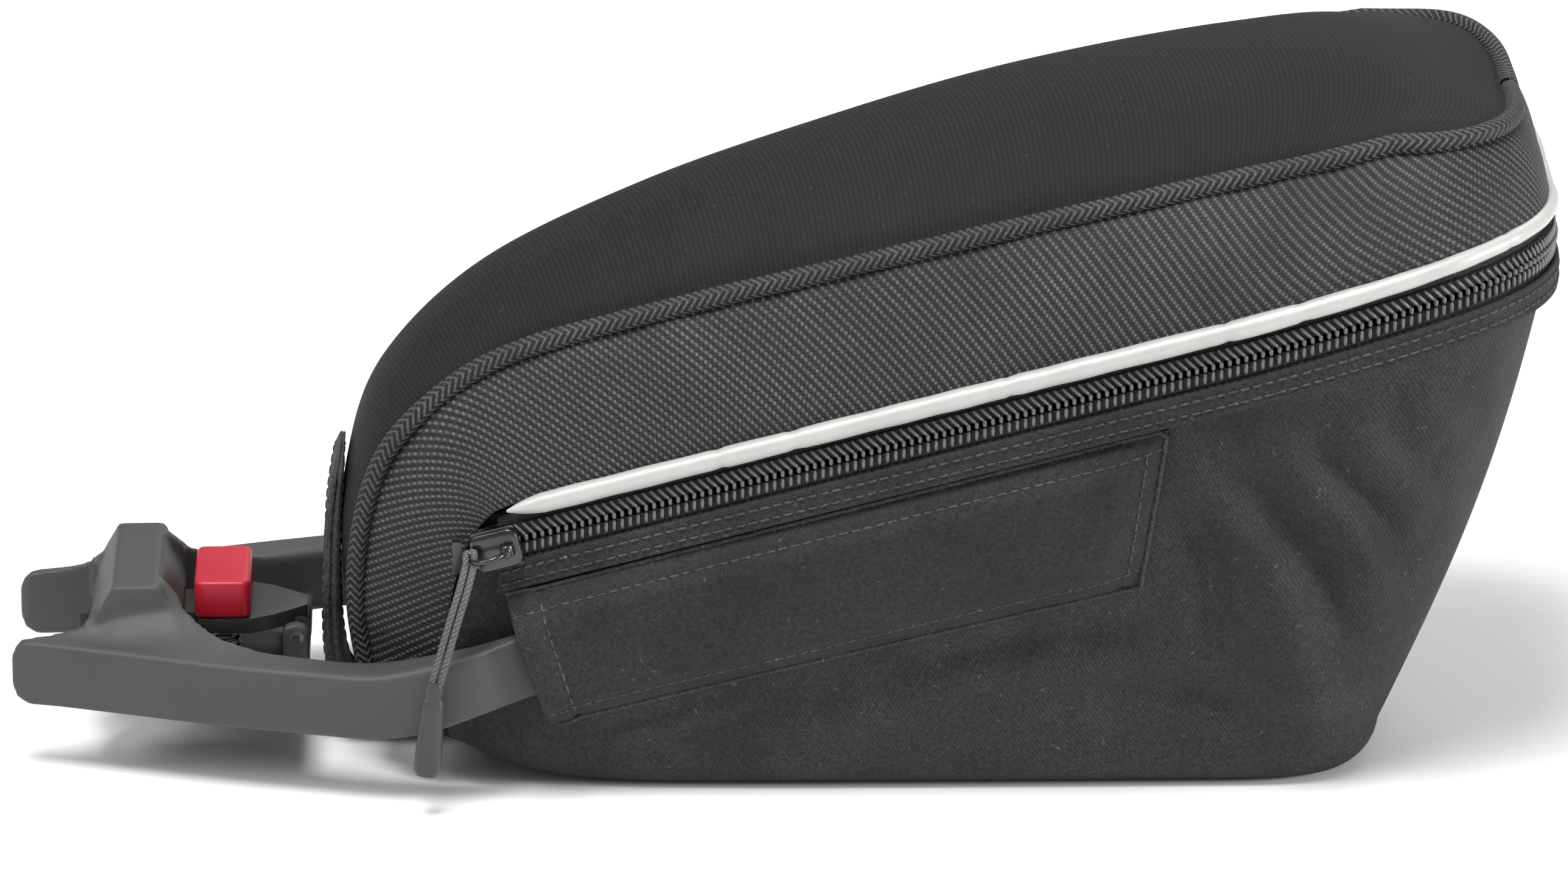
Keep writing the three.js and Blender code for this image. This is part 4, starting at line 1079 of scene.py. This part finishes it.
class SADDLE_OT_zip(bpy.types.Operator):
    """Builds the coil's two rows of teeth, the tapes, and the binding with its stitches"""

    bl_idname = "saddle_bag.zip"
    bl_label = "Zip"

    def execute(self, context):
        sizes = context.scene.saddle_bag_sizes
        whole = length_of(zip_rim(np.linspace(0.0065, 0.9935, 4000)))[-1]
        count = int(whole / (sizes.tooth_pitch / MM))
        centre, along, out = zip_frames(even(zip_rim, 0.0065, 0.9935, count))
        up = np.zeros_like(centre) + np.array([0, 0, 1.0])
        slope = up * -0.76 + along * 0.65
        upper = scatter(
            "teeth_slanted", bead(3.7, 0.85, 1.1), centre + up * 2.25 - along * 0.35 + out * 0.75, slope, out
        )
        heads = scatter(
            "teeth_heads", bead(1.5, 1.0, 1.5), centre + up * 0.35 + along * 1.05 + out * 1.05, up, out
        )
        rows = join("coil_teeth_upper", [upper, heads])
        settle(rows, "coil", "lid")
        lower = scatter(
            "coil_teeth_lower", bead(2.5, 0.95, 1.2), centre + up * -1.95 + along * 1.05 + out * 0.85, up, out
        )
        settle(lower, "coil", "body")
        core = [(-0.5, 0.9), (0.35, 0.9), (0.5, 2), (0.4, 3.7), (-0.5, 3.9)]
        upper_core = zip_band("coil_core_upper", core)
        settle(upper_core, "tape", "lid", ["zip_coil_upper"])
        lower_core = zip_band("coil_core_lower", [(reach, -rise) for reach, rise in core])
        settle(lower_core, "tape", "body", ["zip_coil_lower"])

        tape = [(-1.3, 1), (-0.55, 1), (-0.5, 4.6), (-0.9, 6), (-1.5, 6)]
        upper_tape = zip_band("tape_upper", tape)
        settle(upper_tape, "tape", "lid", ["zip_tape_upper"])
        tape = [(-1.3, -1), (-0.5, -1), (-0.3, -3.6), (0.7, -4.5), (0.7, -5.2), (-1.3, -5)]
        lower_tape = zip_band("tape_lower", tape)
        settle(lower_tape, "tape", "body", ["zip_tape_lower"])

        profile = [
            (0.9, -4.3), (1.5, -4.15), (1.95, -4.4), (2.05, -4.9), (1.9, -5.5), (1.95, -7.6), (1.9, -9.7),
            (2.1, -10.2), (2.0, -10.75), (1.5, -10.95), (0.9, -10.8),
        ]
        binding = zip_band("binding", profile)
        settle(binding, "tape", "body", ["body_binding"])
        centre, along, out = zip_frames(even(zip_rim, 0.007, 0.993, 1200))
        rows = [(centre + out * 1.98 + np.array([0, 0, drop]), out) for drop in (-6.2, -9.0)]
        settle(stitching("binding_stitches", rows), "thread", "body")
        return {"FINISHED"}


# ---------------------------------------------------------------- walls, base and sleeves


CREASES = [  # ends as x and z, height, and width of each soft fold in the rear of a side wall
    (88, 80, 112, 34, 1.9, 5.5), (101, 90, 128, 52, 1.7, 4.5), (118, 93, 139, 66, 2.0, 4.5),
    (92, 52, 120, 14, 1.4, 6), (124, 48, 134, 22, 1.2, 5), (131, 98, 146, 84, 1.6, 3.6),
    (86, 70, 92, 40, -1.6, 4), (98, 76, 118, 44, -1.8, 3.6), (113, 84, 134, 52, -1.9, 3.2),
    (128, 88, 143, 68, -1.6, 3), (20, 22, 84, 30, 1.0, 5), (-10, 14, 60, 15, 0.7, 4),
    (70, 28, 104, 12, -1.2, 5), (30, 32, 78, 40, -0.8, 4), (-40, 10, -8, 26, 0.7, 4.5),
]


def crease(x, z, x0, z0, x1, z1, height, width):
    """A soft ridge or valley along a line, dying out at its ends."""
    span = math.hypot(x1 - x0, z1 - z0)
    ahead = ((x - x0) * (x1 - x0) + (z - z0) * (z1 - z0)) / span
    aside = ((x - x0) * (z1 - z0) - (z - z0) * (x1 - x0)) / span + 0.06 * span * np.sin(3 * ahead / span)
    fade = ease(-0.25, 0.3, ahead / span) * ease(1.3, 0.75, ahead / span)
    return height * np.exp(-((aside / width) ** 2)) * fade


def wall_relief(grid, t, drop):
    """How far the side wall stands in or out of its smooth shape."""
    x, z = grid[..., 0], grid[..., 2]
    height = 1 - drop / 0.8
    free = ease(0, 0.14, height) * ease(1, 0.86, height)
    round_corner = ease(0.9, 0.82, t)
    folds = sum(crease(x, z, *row) for row in CREASES)
    belly = 1.0 * np.sin(math.pi * np.clip(height, 0, 1)) * ease(78, 112, x)
    small = 0.22 * np.sin(x / 2.9 + z / 4.1 + np.sin(z / 11)) * np.sin(z / 3.3 - x / 6.7)
    covered = ease(85, 76, x) * ease(zip_height(x) - 54, zip_height(x) - 49, z) * ease(-75, -68, x)
    return free * round_corner * (1.7 * folds + belly + small) * (1 - covered)


class SADDLE_OT_walls(bpy.types.Operator):
    """Builds the two side walls with their soft folds"""

    bl_idname = "saddle_bag.walls"
    bl_label = "Side Walls"

    def execute(self, context):
        t = np.concatenate([np.linspace(0, 0.8, 150)[:-1], 0.8 + 0.2 * np.linspace(0, 1, 70) ** 1.15])
        drop = np.concatenate([np.linspace(0, 0.8, 52)[:-1], np.linspace(0.8, 1, 10)])
        grid = wall_point(t[None, :] + 0 * drop[:, None], drop[:, None] + 0 * t[None, :])
        normal, _ = normals_of(grid)
        relief = wall_relief(grid, t[None, :], drop[:, None])
        relief = relief * ease(1.0, 0.985, t[None, :])
        grid = grid + normal * relief[..., None]
        height = np.clip(1 - drop[:, None] / 0.8, 0, 1)
        grid[..., 0] += 4 * np.sin(math.pi * height) * ease(0.82, 0.97, t[None, :])
        along = length_of(grid[30])[None, :] + 0 * drop[:, None]
        down = np.concatenate([[0], np.cumsum(np.linalg.norm(np.diff(grid[:, 110], axis=0), axis=1))])
        uv = np.stack([along, down[:, None] + 0 * along], -1)
        x, rise = np.meshgrid(np.linspace(-74, -61, 12), np.linspace(-12, 6, 12), indexing="ij")
        patch = point(x, 3.2 - zip_half(x), zip_height(x) + rise)
        patch_uv = np.stack([x, rise], -1)
        for side, sign in (("left", 1), ("right", -1)):
            flip = np.array([1, sign, 1])
            backing = cloth_piece(f"zip_end_patch_{side}", patch * flip, patch_uv, 0.8)
            settle(backing, "wall", "body")
            wall = cloth_piece(f"wall_cloth_{side}", grid * flip, uv, 1.5)
            settle(wall, "wall", "body", [f"side_wall_{side}"])
        return {"FINISHED"}


class SADDLE_OT_base(bpy.types.Operator):
    """Builds the base cloth, flat under the bag and rising to its front"""

    bl_idname = "saddle_bag.base"
    bl_label = "Base Cloth"

    def execute(self, context):
        middle = track([
            (-92.6, 0, 17.6), (-85, 0, 12.9), (-75.5, 0, 8.2), (-63, 0, 3.8), (-48, 0, 0.8), (-28, 0, 0),
            (0, 0, 0), (30, 0, 0), (60, 0, 0), (90, 0, 0), (BASE_REAR_X - 12, 0, 0),
        ])
        halves = track([(0, h, 0) for h in (25.2, 29.4, 26.2, 28.2, 30, 31.2, 32.1, 32.5, 32.7, 32.8, 20)])
        v = np.linspace(0, 1, 120)[None, :]
        across = np.linspace(-1, 1, 41)[:, None]
        line = middle(v + 0 * across)
        half = halves(v + 0 * across)[..., 1]
        bow = np.clip((v - 0.9) / 0.1, 0, 1) * 3.4 * (1 - across**2)
        lift = 0.25 * np.sin(line[..., 0] / 6.1) * np.sin(across * 5) * ease(-48, -62, line[..., 0])
        grid = point(line[..., 0] + bow, across * half, np.maximum(line[..., 2], 0) + np.maximum(lift, 0))
        uv = np.stack([length_of(line[20])[None, :] + 0 * across, across * half], -1)
        base = cloth_piece("base_panel", grid, uv, 1.5)
        settle(base, "side", "body", ["base_cloth"])
        return {"FINISHED"}


def sleeve_point(u, v):
    """Outer face of a sleeve: u runs down it, v from its open front to its sewn rear."""
    front_x, rear_x = -61.5 + 9.5 * u, 81 - 5 * u
    x = front_x + (rear_x - front_x) * v
    top = zip_height(x) - 11.9
    low = zip_height(x) - (44.5 + 5 * v)
    z = top + (low - top) * u
    puff = np.minimum(1, 1.7 * np.sin(math.pi * u)) * np.minimum(1, (1 - v) * 14)
    stand = (4.4 + 3.4 * np.clip((-50 - x) / 12, 0, 1)) * puff
    sewn = np.exp(-((u / 0.05) ** 2)) + np.exp(-(((1 - u) / 0.05) ** 2)) + np.exp(-(((1 - v) / 0.02) ** 2))
    return point(x, -(wall_half(x, z) + 2.15 - 0.95 * np.minimum(sewn, 1) + stand), z)


class SADDLE_OT_sleeves(bpy.types.Operator):
    """Builds the sleeves that the fork's arms run into, with their hems and stitches"""

    bl_idname = "saddle_bag.sleeves"
    bl_label = "Arm Sleeves"

    def execute(self, context):
        u = np.linspace(0, 1, 44)[:, None]
        v = np.linspace(0, 1, 150)[None, :]
        grid = sleeve_point(u + 0 * v, v + 0 * u)
        normal, _ = normals_of(grid)
        x, z = grid[..., 0], grid[..., 2]
        inner = np.sin(math.pi * u) * ease(0, 0.05, v) * ease(1, 0.93, v)
        waves = 0.45 * np.sin(x / 13 + z / 21) + 0.3 * np.sin(x / 7.3 - z / 9 + 2) * ease(20, 75, x)
        seam_pull = np.exp(-(((u - 0.11) / 0.03) ** 2)) + np.exp(-(((u - 0.89) / 0.03) ** 2))
        seam_pull = seam_pull + np.exp(-(((v - 0.965) / 0.008) ** 2)) + np.exp(-(((v - 0.045) / 0.008) ** 2))
        hem = 0.5 * ease(0.045, 0.035, v)
        grid = grid + normal * (waves * inner - 0.3 * np.minimum(seam_pull, 1) + hem)[..., None]
        uv = np.stack([x / math.cos(math.atan(ZIP_SLOPE)) + 0 * z, z - ZIP_SLOPE * x], -1)
        rows = [
            (grid[5], normal[5]), (grid[38], normal[38]),
            (grid[5:39, 145], normal[5:39, 145]), (grid[3:41, 7], normal[3:41, 7]),
        ]
        for side, sign in (("left", 1), ("right", -1)):
            flip = np.array([1, sign, 1])
            sleeve = cloth_piece(f"sleeve_cloth_{side}", grid * flip, uv, 1.2)
            settle(sleeve, "side", "body", [f"arm_sleeve_{side}"])
            rim = np.vstack([grid[0, ::3], grid[2:-2:3, -1], grid[-1, ::-3]]) * flip
            hem = tube_piece(f"sleeve_hem_{side}", rim + (normal[22, 75] * flip) * 0.1, 0.55, 8)
            settle(hem, "hem", "body")
            turned = [(line * flip, out * flip) for line, out in rows]
            stitches = stitching(f"sleeve_stitches_{side}", turned)
            settle(stitches, "thread", "body")
        return {"FINISHED"}


class SADDLE_OT_tab(bpy.types.Operator):
    """Builds the two-layer pull tab at the foot of the bag's front"""

    bl_idname = "saddle_bag.tab"
    bl_label = "Front Tab"

    def execute(self, context):
        stations = np.array([
            (-97.3, 69.2, 1.2, 3), (-97.9, 66, 1.8, 7.5), (-98.5, 62, 2.4, 11), (-99.6, 52, 3.2, 12),
            (-100.1, 41, 3.4, 12), (-100.3, 30, 3.8, 12), (-99.8, 20.5, 3.8, 12), (-98, 13, 3.6, 12),
            (-93, 9.2, 3.4, 12), (-84.5, 7.2, 3, 12),
        ])
        low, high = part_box("front_tab")
        reach = max(abs(low.y), abs(high.y)) / MM
        shape = track([(x, thick, z) for x, z, thick, half in stations])
        spread = track([(half, 0, 0) for x, z, thick, half in stations])
        t = np.linspace(0, 1, 90)
        line = shape(t)
        centres = point(line[:, 0], 0 * t, line[:, 2])
        thick = line[:, 1]
        half = np.minimum(spread(t)[:, 0], reach)
        along = unit(np.gradient(centres, axis=0))
        out = np.cross(along, np.array([0, 1.0, 0]))
        out = out * np.sign(np.sum(out * np.array([-1, 0, 0.2]), axis=1, keepdims=True))
        rings = []
        for c, o, w, h in zip(centres, out, thick, half):
            section = [
                (h - 0.5, 0.5), (h, 0.34), (h, 0.12), (h - 0.45, 0), (h, -0.12), (h, -0.34), (h - 0.5, -0.5),
            ]
            ring = [c + o * b * w + np.array([0, a, 0]) for a, b in section]
            ring += [c + o * b * w - np.array([0, a, 0]) for a, b in section[::-1]]
            rings.append(ring)
        tab = ring_piece("tab_strap", rings, smooth_angle=30)
        settle(tab, "tab", "body", ["front_tab"])
        rows = []
        face = centres + out * (thick / 2)[:, None]
        back = centres - out * (thick / 2)[:, None]
        for sign in (-1, 1):
            inset = point(0 * t, sign * (half - 2), 0 * t)
            rows += [((face + inset)[10:], out[10:]), ((back + inset)[10:], -out[10:])]
        settle(stitching("tab_stitches", rows), "thread", "body")
        return {"FINISHED"}


# ---------------------------------------------------------------- slider and pull

SLIDER_PLACE = np.array([-62.8, -40.43, 58.55])
SLIDER_ALONG = np.array([0.94853, -0.12881, 0.28930])
SLIDER_OUT = np.array([-0.13456, -0.99090, 0.0])
SLIDER_UP = np.array([-0.28667, 0.03893, 0.95724])
CORD_GAP = 0.86  # from the pull's middle to each strand of its cord


def slider_matrix():
    """From the slider's own frame (along, up, out) to the bag's."""
    turn = Matrix(np.column_stack([SLIDER_ALONG, SLIDER_UP, SLIDER_OUT]).tolist()).to_4x4()
    return Matrix.Translation(Vector(SLIDER_PLACE * MM)) @ turn


def on_slider(along, up, out):
    return SLIDER_PLACE + SLIDER_ALONG * along + SLIDER_UP * up + SLIDER_OUT * out


class SADDLE_OT_slider(bpy.types.Operator):
    """Builds the zip's slider and the wire bail on it"""

    bl_idname = "saddle_bag.slider"
    bl_label = "Slider and Bail"

    def execute(self, context):
        outer = block("slider_top", (-5.6, -4.3, 2.6), (5.2, 4.3, 4.5))
        round_edges(outer, upright, 2.2, 4)
        pick(outer, "faces", lambda c, d: d.z > 0.9)
        bpy.ops.mesh.inset(thickness=1.1 * MM)
        bpy.ops.transform.translate(value=(0, 0, 0.35 * MM))
        inner = block("slider_back", (-5.5, -4, -3.6), (5.5, 4, -2.1))
        round_edges(inner, upright, 2, 4)
        neck = block("slider_neck", (-5, -0.42, -2.6), (-1.8, 0.42, 3))
        flanges = [block("flange", (-5, s * 4.2 - 0.45, 1.9), (4.8, s * 4.2 + 0.45, 3.6)) for s in (-1, 1)]
        lug = block("lug", (0.9, -1.3, 4.2), (4.1, 1.3, 7.3))
        round_edges(lug, lambda c, d: abs(d.y) > 0.9 and c.z > 7, 1.5, 5)
        head = primitive(
            "pin_head", bpy.ops.mesh.primitive_uv_sphere_add, segments=20, ring_count=12, radius=1.15 * MM,
            location=(2.5 * MM, 0, 7.0 * MM), scale=(1, 1.35, 0.7),
        )
        slider = join("slider_body", [outer, inner, neck, lug, head, *flanges])
        add_modifier(slider, "BEVEL", width=0.35 * MM, segments=3, limit_method="ANGLE")
        slider.data.transform(slider_matrix())
        soften(slider, 40)
        settle(slider, "slider", "slider", ["zip_slider"])

        ring = primitive(
            "bail_wire", bpy.ops.mesh.primitive_torus_add, major_radius=3.9 * MM, minor_radius=0.62 * MM,
            major_segments=56, minor_segments=12, location=(-1.5 * MM, 0, 6.3 * MM),
            rotation=(math.pi / 2, 0, 0),
        )
        ring.data.transform(slider_matrix())
        soften(ring, 60)
        settle(ring, "slider", "bail", ["pull_bail"])
        return {"FINISHED"}


class SADDLE_OT_pull(bpy.types.Operator):
    """Builds the doubled cord through the bail and the moulded grip on it"""

    bl_idname = "saddle_bag.pull"
    bl_label = "Pull Cord and Grip"

    def execute(self, context):
        spine = track([(-69.3, -47.6, 56.2), (-70.6, -50.3, 52), (-73.4, -52.1, 43), (-77, -53, 30.4)])
        t = np.linspace(0, 1, 26)
        line = spine(t)
        along = unit(np.gradient(line, axis=0))
        side = unit(np.cross(along, SLIDER_OUT))
        wire = on_slider(-5.4, 0, 6.3)
        over = np.array([wire + SLIDER_UP * 1.5 + SLIDER_ALONG * a for a in (-0.9, 0, 0.9)])
        first, second = (line + side * CORD_GAP)[::-1], line - side * CORD_GAP
        if np.dot(first[-1] - second[0], over[0] - over[-1]) <= 0:
            over = over[::-1]
        path = np.vstack([first, over, second])
        smooth = track(path)(np.linspace(0, 1, 150))
        cord = tube_piece("cord_loop", smooth, 0.8, 12, up=tuple(SLIDER_OUT))
        settle(cord, "cord", "pull", ["pull_cord"])

        stations = np.array([
            (0, 1.5, 1.25), (0.03, 1.9, 1.5), (0.1, 2.1, 1.6), (0.12, 1.85, 1.45), (0.16, 1.85, 1.45),
            (0.18, 2.3, 1.7), (0.45, 2.65, 1.9), (0.8, 3.0, 2.2), (0.93, 2.9, 2.15), (0.985, 2.3, 1.7),
            (1, 1.2, 0.9),
        ])
        start, end = np.array([-77.1, -53.1, 31.2]), np.array([-79.2, -53.6, 9.6])
        axis = unit(end - start)
        wide = unit(np.cross(axis, SLIDER_OUT))
        deep = np.cross(wide, axis)
        spans = [np.linspace(a, b, 4)[:-1] for a, b in zip(stations[:-1, 0], stations[1:, 0])]
        share = np.concatenate(spans + [[1]])
        angle = np.linspace(0, 2 * math.pi, 28, endpoint=False)
        rings = []
        for s in share:
            w, d = (np.interp(s, stations[:, 0], stations[:, k]) for k in (1, 2))
            c = start + (end - start) * s
            rings.append([
                c
                + wide * w * math.copysign(abs(math.cos(a)) ** 0.75, math.cos(a))
                + deep * d * math.copysign(abs(math.sin(a)) ** 0.75, math.sin(a))
                for a in angle
            ])
        grip = ring_piece("grip", rings, smooth_angle=45)
        settle(grip, "grip", "pull", ["pull_grip"])
        path = (smooth * MM).tolist()
        return {"FINISHED"}


class SADDLE_OT_small_parts(bpy.types.Operator):
    """Gives the carried-over small parts their finishes: pin, rivets, plates, stops, board and foam"""

    bl_idname = "saddle_bag.small_parts"
    bl_label = "Small Parts"

    def execute(self, context):
        finishes = {
            "lever_pin": "steel", "zip_stop_left": "slider", "zip_stop_right": "slider", "base_board": "board",
            "backing_plate_left": "board", "backing_plate_right": "board", "lid_foam": "foam",
        }
        for side in ("left", "right"):
            for place in ("front", "rear"):
                finishes[f"arm_rivet_{side}_{place}"] = "steel"
        for name, key in finishes.items():
            dress(NODES[name], key)
            soften(NODES[name], 35)
        return {"FINISHED"}


# ---------------------------------------------------------------- stage


class SADDLE_OT_stage(bpy.types.Operator):
    """Sets up the floor, the studio lights and the camera"""

    bl_idname = "saddle_bag.stage"
    bl_label = "Stage"

    def execute(self, context):
        settings = context.scene.saddle_bag_stage
        floor = primitive(
            "floor", bpy.ops.mesh.primitive_plane_add, size=settings.floor_size, location=(0, 0, -0.0002)
        )
        finish = Finish("floor_paper", 0.9, specular=0.1)
        tone = finish.mix(finish.noise(8, 2), shade(settings.floor_colour, 0.985), settings.floor_colour[:3])
        floor.data.materials.append(finish.done(tone))

        target = Vector((0, 0, 0.067))
        azimuth, elevation, distance = settings.azimuth, settings.elevation, settings.distance
        back = Vector((
            math.sin(azimuth) * math.cos(elevation), -math.cos(azimuth) * math.cos(elevation), math.sin(elevation),
        ))
        data = bpy.data.cameras.new("camera")
        data.lens = settings.lens
        data.sensor_width = 36
        camera = bpy.data.objects.new("camera", data)
        camera.location = target + back * distance
        camera.rotation_euler = (-back).to_track_quat("-Z", "Y").to_euler()
        context.scene.collection.objects.link(camera)
        context.scene.camera = camera

        lamps = [  # name, place, watts, size
            ("key", (-0.25, -0.55, 1.7), 31, 0.7),
            ("fill", (1.9, -0.7, 0.6), 30, 0.5),
            ("rear", (0.5, 1.3, 1.3), 9, 1.0),
            ("front", (-1.3, -0.35, 1.3), 12, 0.8),
        ]
        for name, place, power, size in lamps:
            light = bpy.data.lights.new(name, "AREA")
            light.energy = power
            light.size = size
            lamp = bpy.data.objects.new(name, light)
            lamp.location = place
            lamp.rotation_euler = (target - Vector(place)).to_track_quat("-Z", "Y").to_euler()
            context.scene.collection.objects.link(lamp)
        world = bpy.data.worlds.new("studio")
        world.use_nodes = True
        sky = world.node_tree.nodes["Background"]
        sky.inputs["Color"].default_value = (1, 1, 1, 1)
        sky.inputs["Strength"].default_value = 0.32
        context.scene.world = world
        context.scene.view_settings.view_transform = "Standard"
        return {"FINISHED"}


# ---------------------------------------------------------------- settings and panel


def colour(name, description, value):
    return bpy.props.FloatVectorProperty(
        name=name, description=description, subtype="COLOR", size=3, min=0, max=1, default=value
    )


class SaddleBagSizes(bpy.types.PropertyGroup):
    fork_detail: bpy.props.FloatProperty(
        name="Fork Detail", description="Grid size that the fork's parts are merged on",
        default=0.0007, min=0.0005, max=0.002, unit="LENGTH",
    )
    tooth_pitch: bpy.props.FloatProperty(
        name="Tooth Pitch", description="Distance from one coil tooth to the next",
        default=0.00182, min=0.001, max=0.004, unit="LENGTH",
    )


class SaddleBagColours(bpy.types.PropertyGroup):
    fork: colour("Fork", "Moulded plastic of the fork", (0.056, 0.055, 0.052))
    button: colour("Button", "Release button", (0.42, 0.012, 0.03))
    slider: colour("Slider", "Lacquer of the slider and bail", (0.003, 0.003, 0.0033))
    top: colour("Top Panel", "Smooth cloth of the top panel", (0.0085, 0.0085, 0.0088))
    side: colour("Side Cloth", "Cloth of the walls, base, sleeves and tab", (0.0185, 0.0185, 0.019))
    # The two weave colours are painted light: a painted highlight on the raised threads and a painted shade in the
    # gaps.
    weave_highlight: colour("Weave Light", "Raised threads of the coarse weave", (0.15, 0.15, 0.152))
    weave_gap_shade: colour("Weave Dark", "Gaps of the coarse weave", (0.0015, 0.0015, 0.0016))
    reflective: colour("Reflective", "Reflective film on the piping", (0.5, 0.5, 0.485))
    coil: colour("Coil", "Nylon of the zip's teeth", (0.09, 0.09, 0.093))
    tape: colour("Tape", "Zip tape and binding", (0.022, 0.022, 0.023))
    thread: colour("Thread", "Stitching", (0.08, 0.08, 0.082))
    cord: colour("Cord", "Pull cord", (0.17, 0.17, 0.165))
    grip: colour("Grip", "Moulded grip of the pull", (0.045, 0.045, 0.046))


class SaddleBagStage(bpy.types.PropertyGroup):
    floor_size: bpy.props.FloatProperty(
        name="Floor Size", description="Width of the floor", default=14, min=1, unit="LENGTH"
    )
    floor_colour: colour("Floor", "Colour of the floor", (0.92, 0.92, 0.92))
    azimuth: bpy.props.FloatProperty(
        name="Azimuth", description="Turn of the camera round the bag", default=math.radians(-1.5), subtype="ANGLE"
    )
    elevation: bpy.props.FloatProperty(
        name="Elevation", description="Height angle of the camera", default=math.radians(20), subtype="ANGLE"
    )
    distance: bpy.props.FloatProperty(
        name="Distance", description="Distance of the camera from the bag", default=2.2, min=0.5, unit="LENGTH"
    )
    lens: bpy.props.FloatProperty(name="Lens", description="Focal length in millimetres", default=228.7, min=10)


class SADDLE_PT_panel(bpy.types.Panel):
    """Lists the bag's pieces and their settings"""

    bl_label = "Saddle Bag"
    bl_idname = "SADDLE_PT_panel"
    bl_space_type = "VIEW_3D"
    bl_region_type = "UI"
    bl_category = "Saddle Bag"

    def draw(self, context):
        layout = self.layout
        for operator in OPERATORS:
            layout.operator(operator.bl_idname)
        for group in ("saddle_bag_sizes", "saddle_bag_colours", "saddle_bag_stage"):
            settings = getattr(context.scene, group)
            box = layout.box()
            for name in settings.bl_rna.properties.keys():
                if name not in ("rna_type", "name"):
                    box.prop(settings, name)


OPERATORS = [
    SADDLE_OT_stage,
    SADDLE_OT_pull,
    SADDLE_OT_fork,
    SADDLE_OT_release,
    SADDLE_OT_top_panel,
    SADDLE_OT_gusset,
    SADDLE_OT_pipings,
    SADDLE_OT_zip,
    SADDLE_OT_walls,
    SADDLE_OT_base,
    SADDLE_OT_sleeves,
    SADDLE_OT_tab,
    SADDLE_OT_slider,
    SADDLE_OT_small_parts,
]
GROUPS = {
    "saddle_bag_sizes": SaddleBagSizes,
    "saddle_bag_colours": SaddleBagColours,
    "saddle_bag_stage": SaddleBagStage,
}


def register():
    for cls in (*GROUPS.values(), *OPERATORS, SADDLE_PT_panel):
        bpy.utils.register_class(cls)
    for name, group in GROUPS.items():
        setattr(bpy.types.Scene, name, bpy.props.PointerProperty(type=group))


def unregister():
    for name in GROUPS:
        delattr(bpy.types.Scene, name)
    for cls in (SADDLE_PT_panel, *OPERATORS[::-1], *list(GROUPS.values())[::-1]):
        bpy.utils.unregister_class(cls)


def main():
    register()
    for operator in OPERATORS:
        name = operator.bl_idname.split(".")[1]
        getattr(bpy.ops.saddle_bag, name)()


if __name__ == "__main__":
    main()
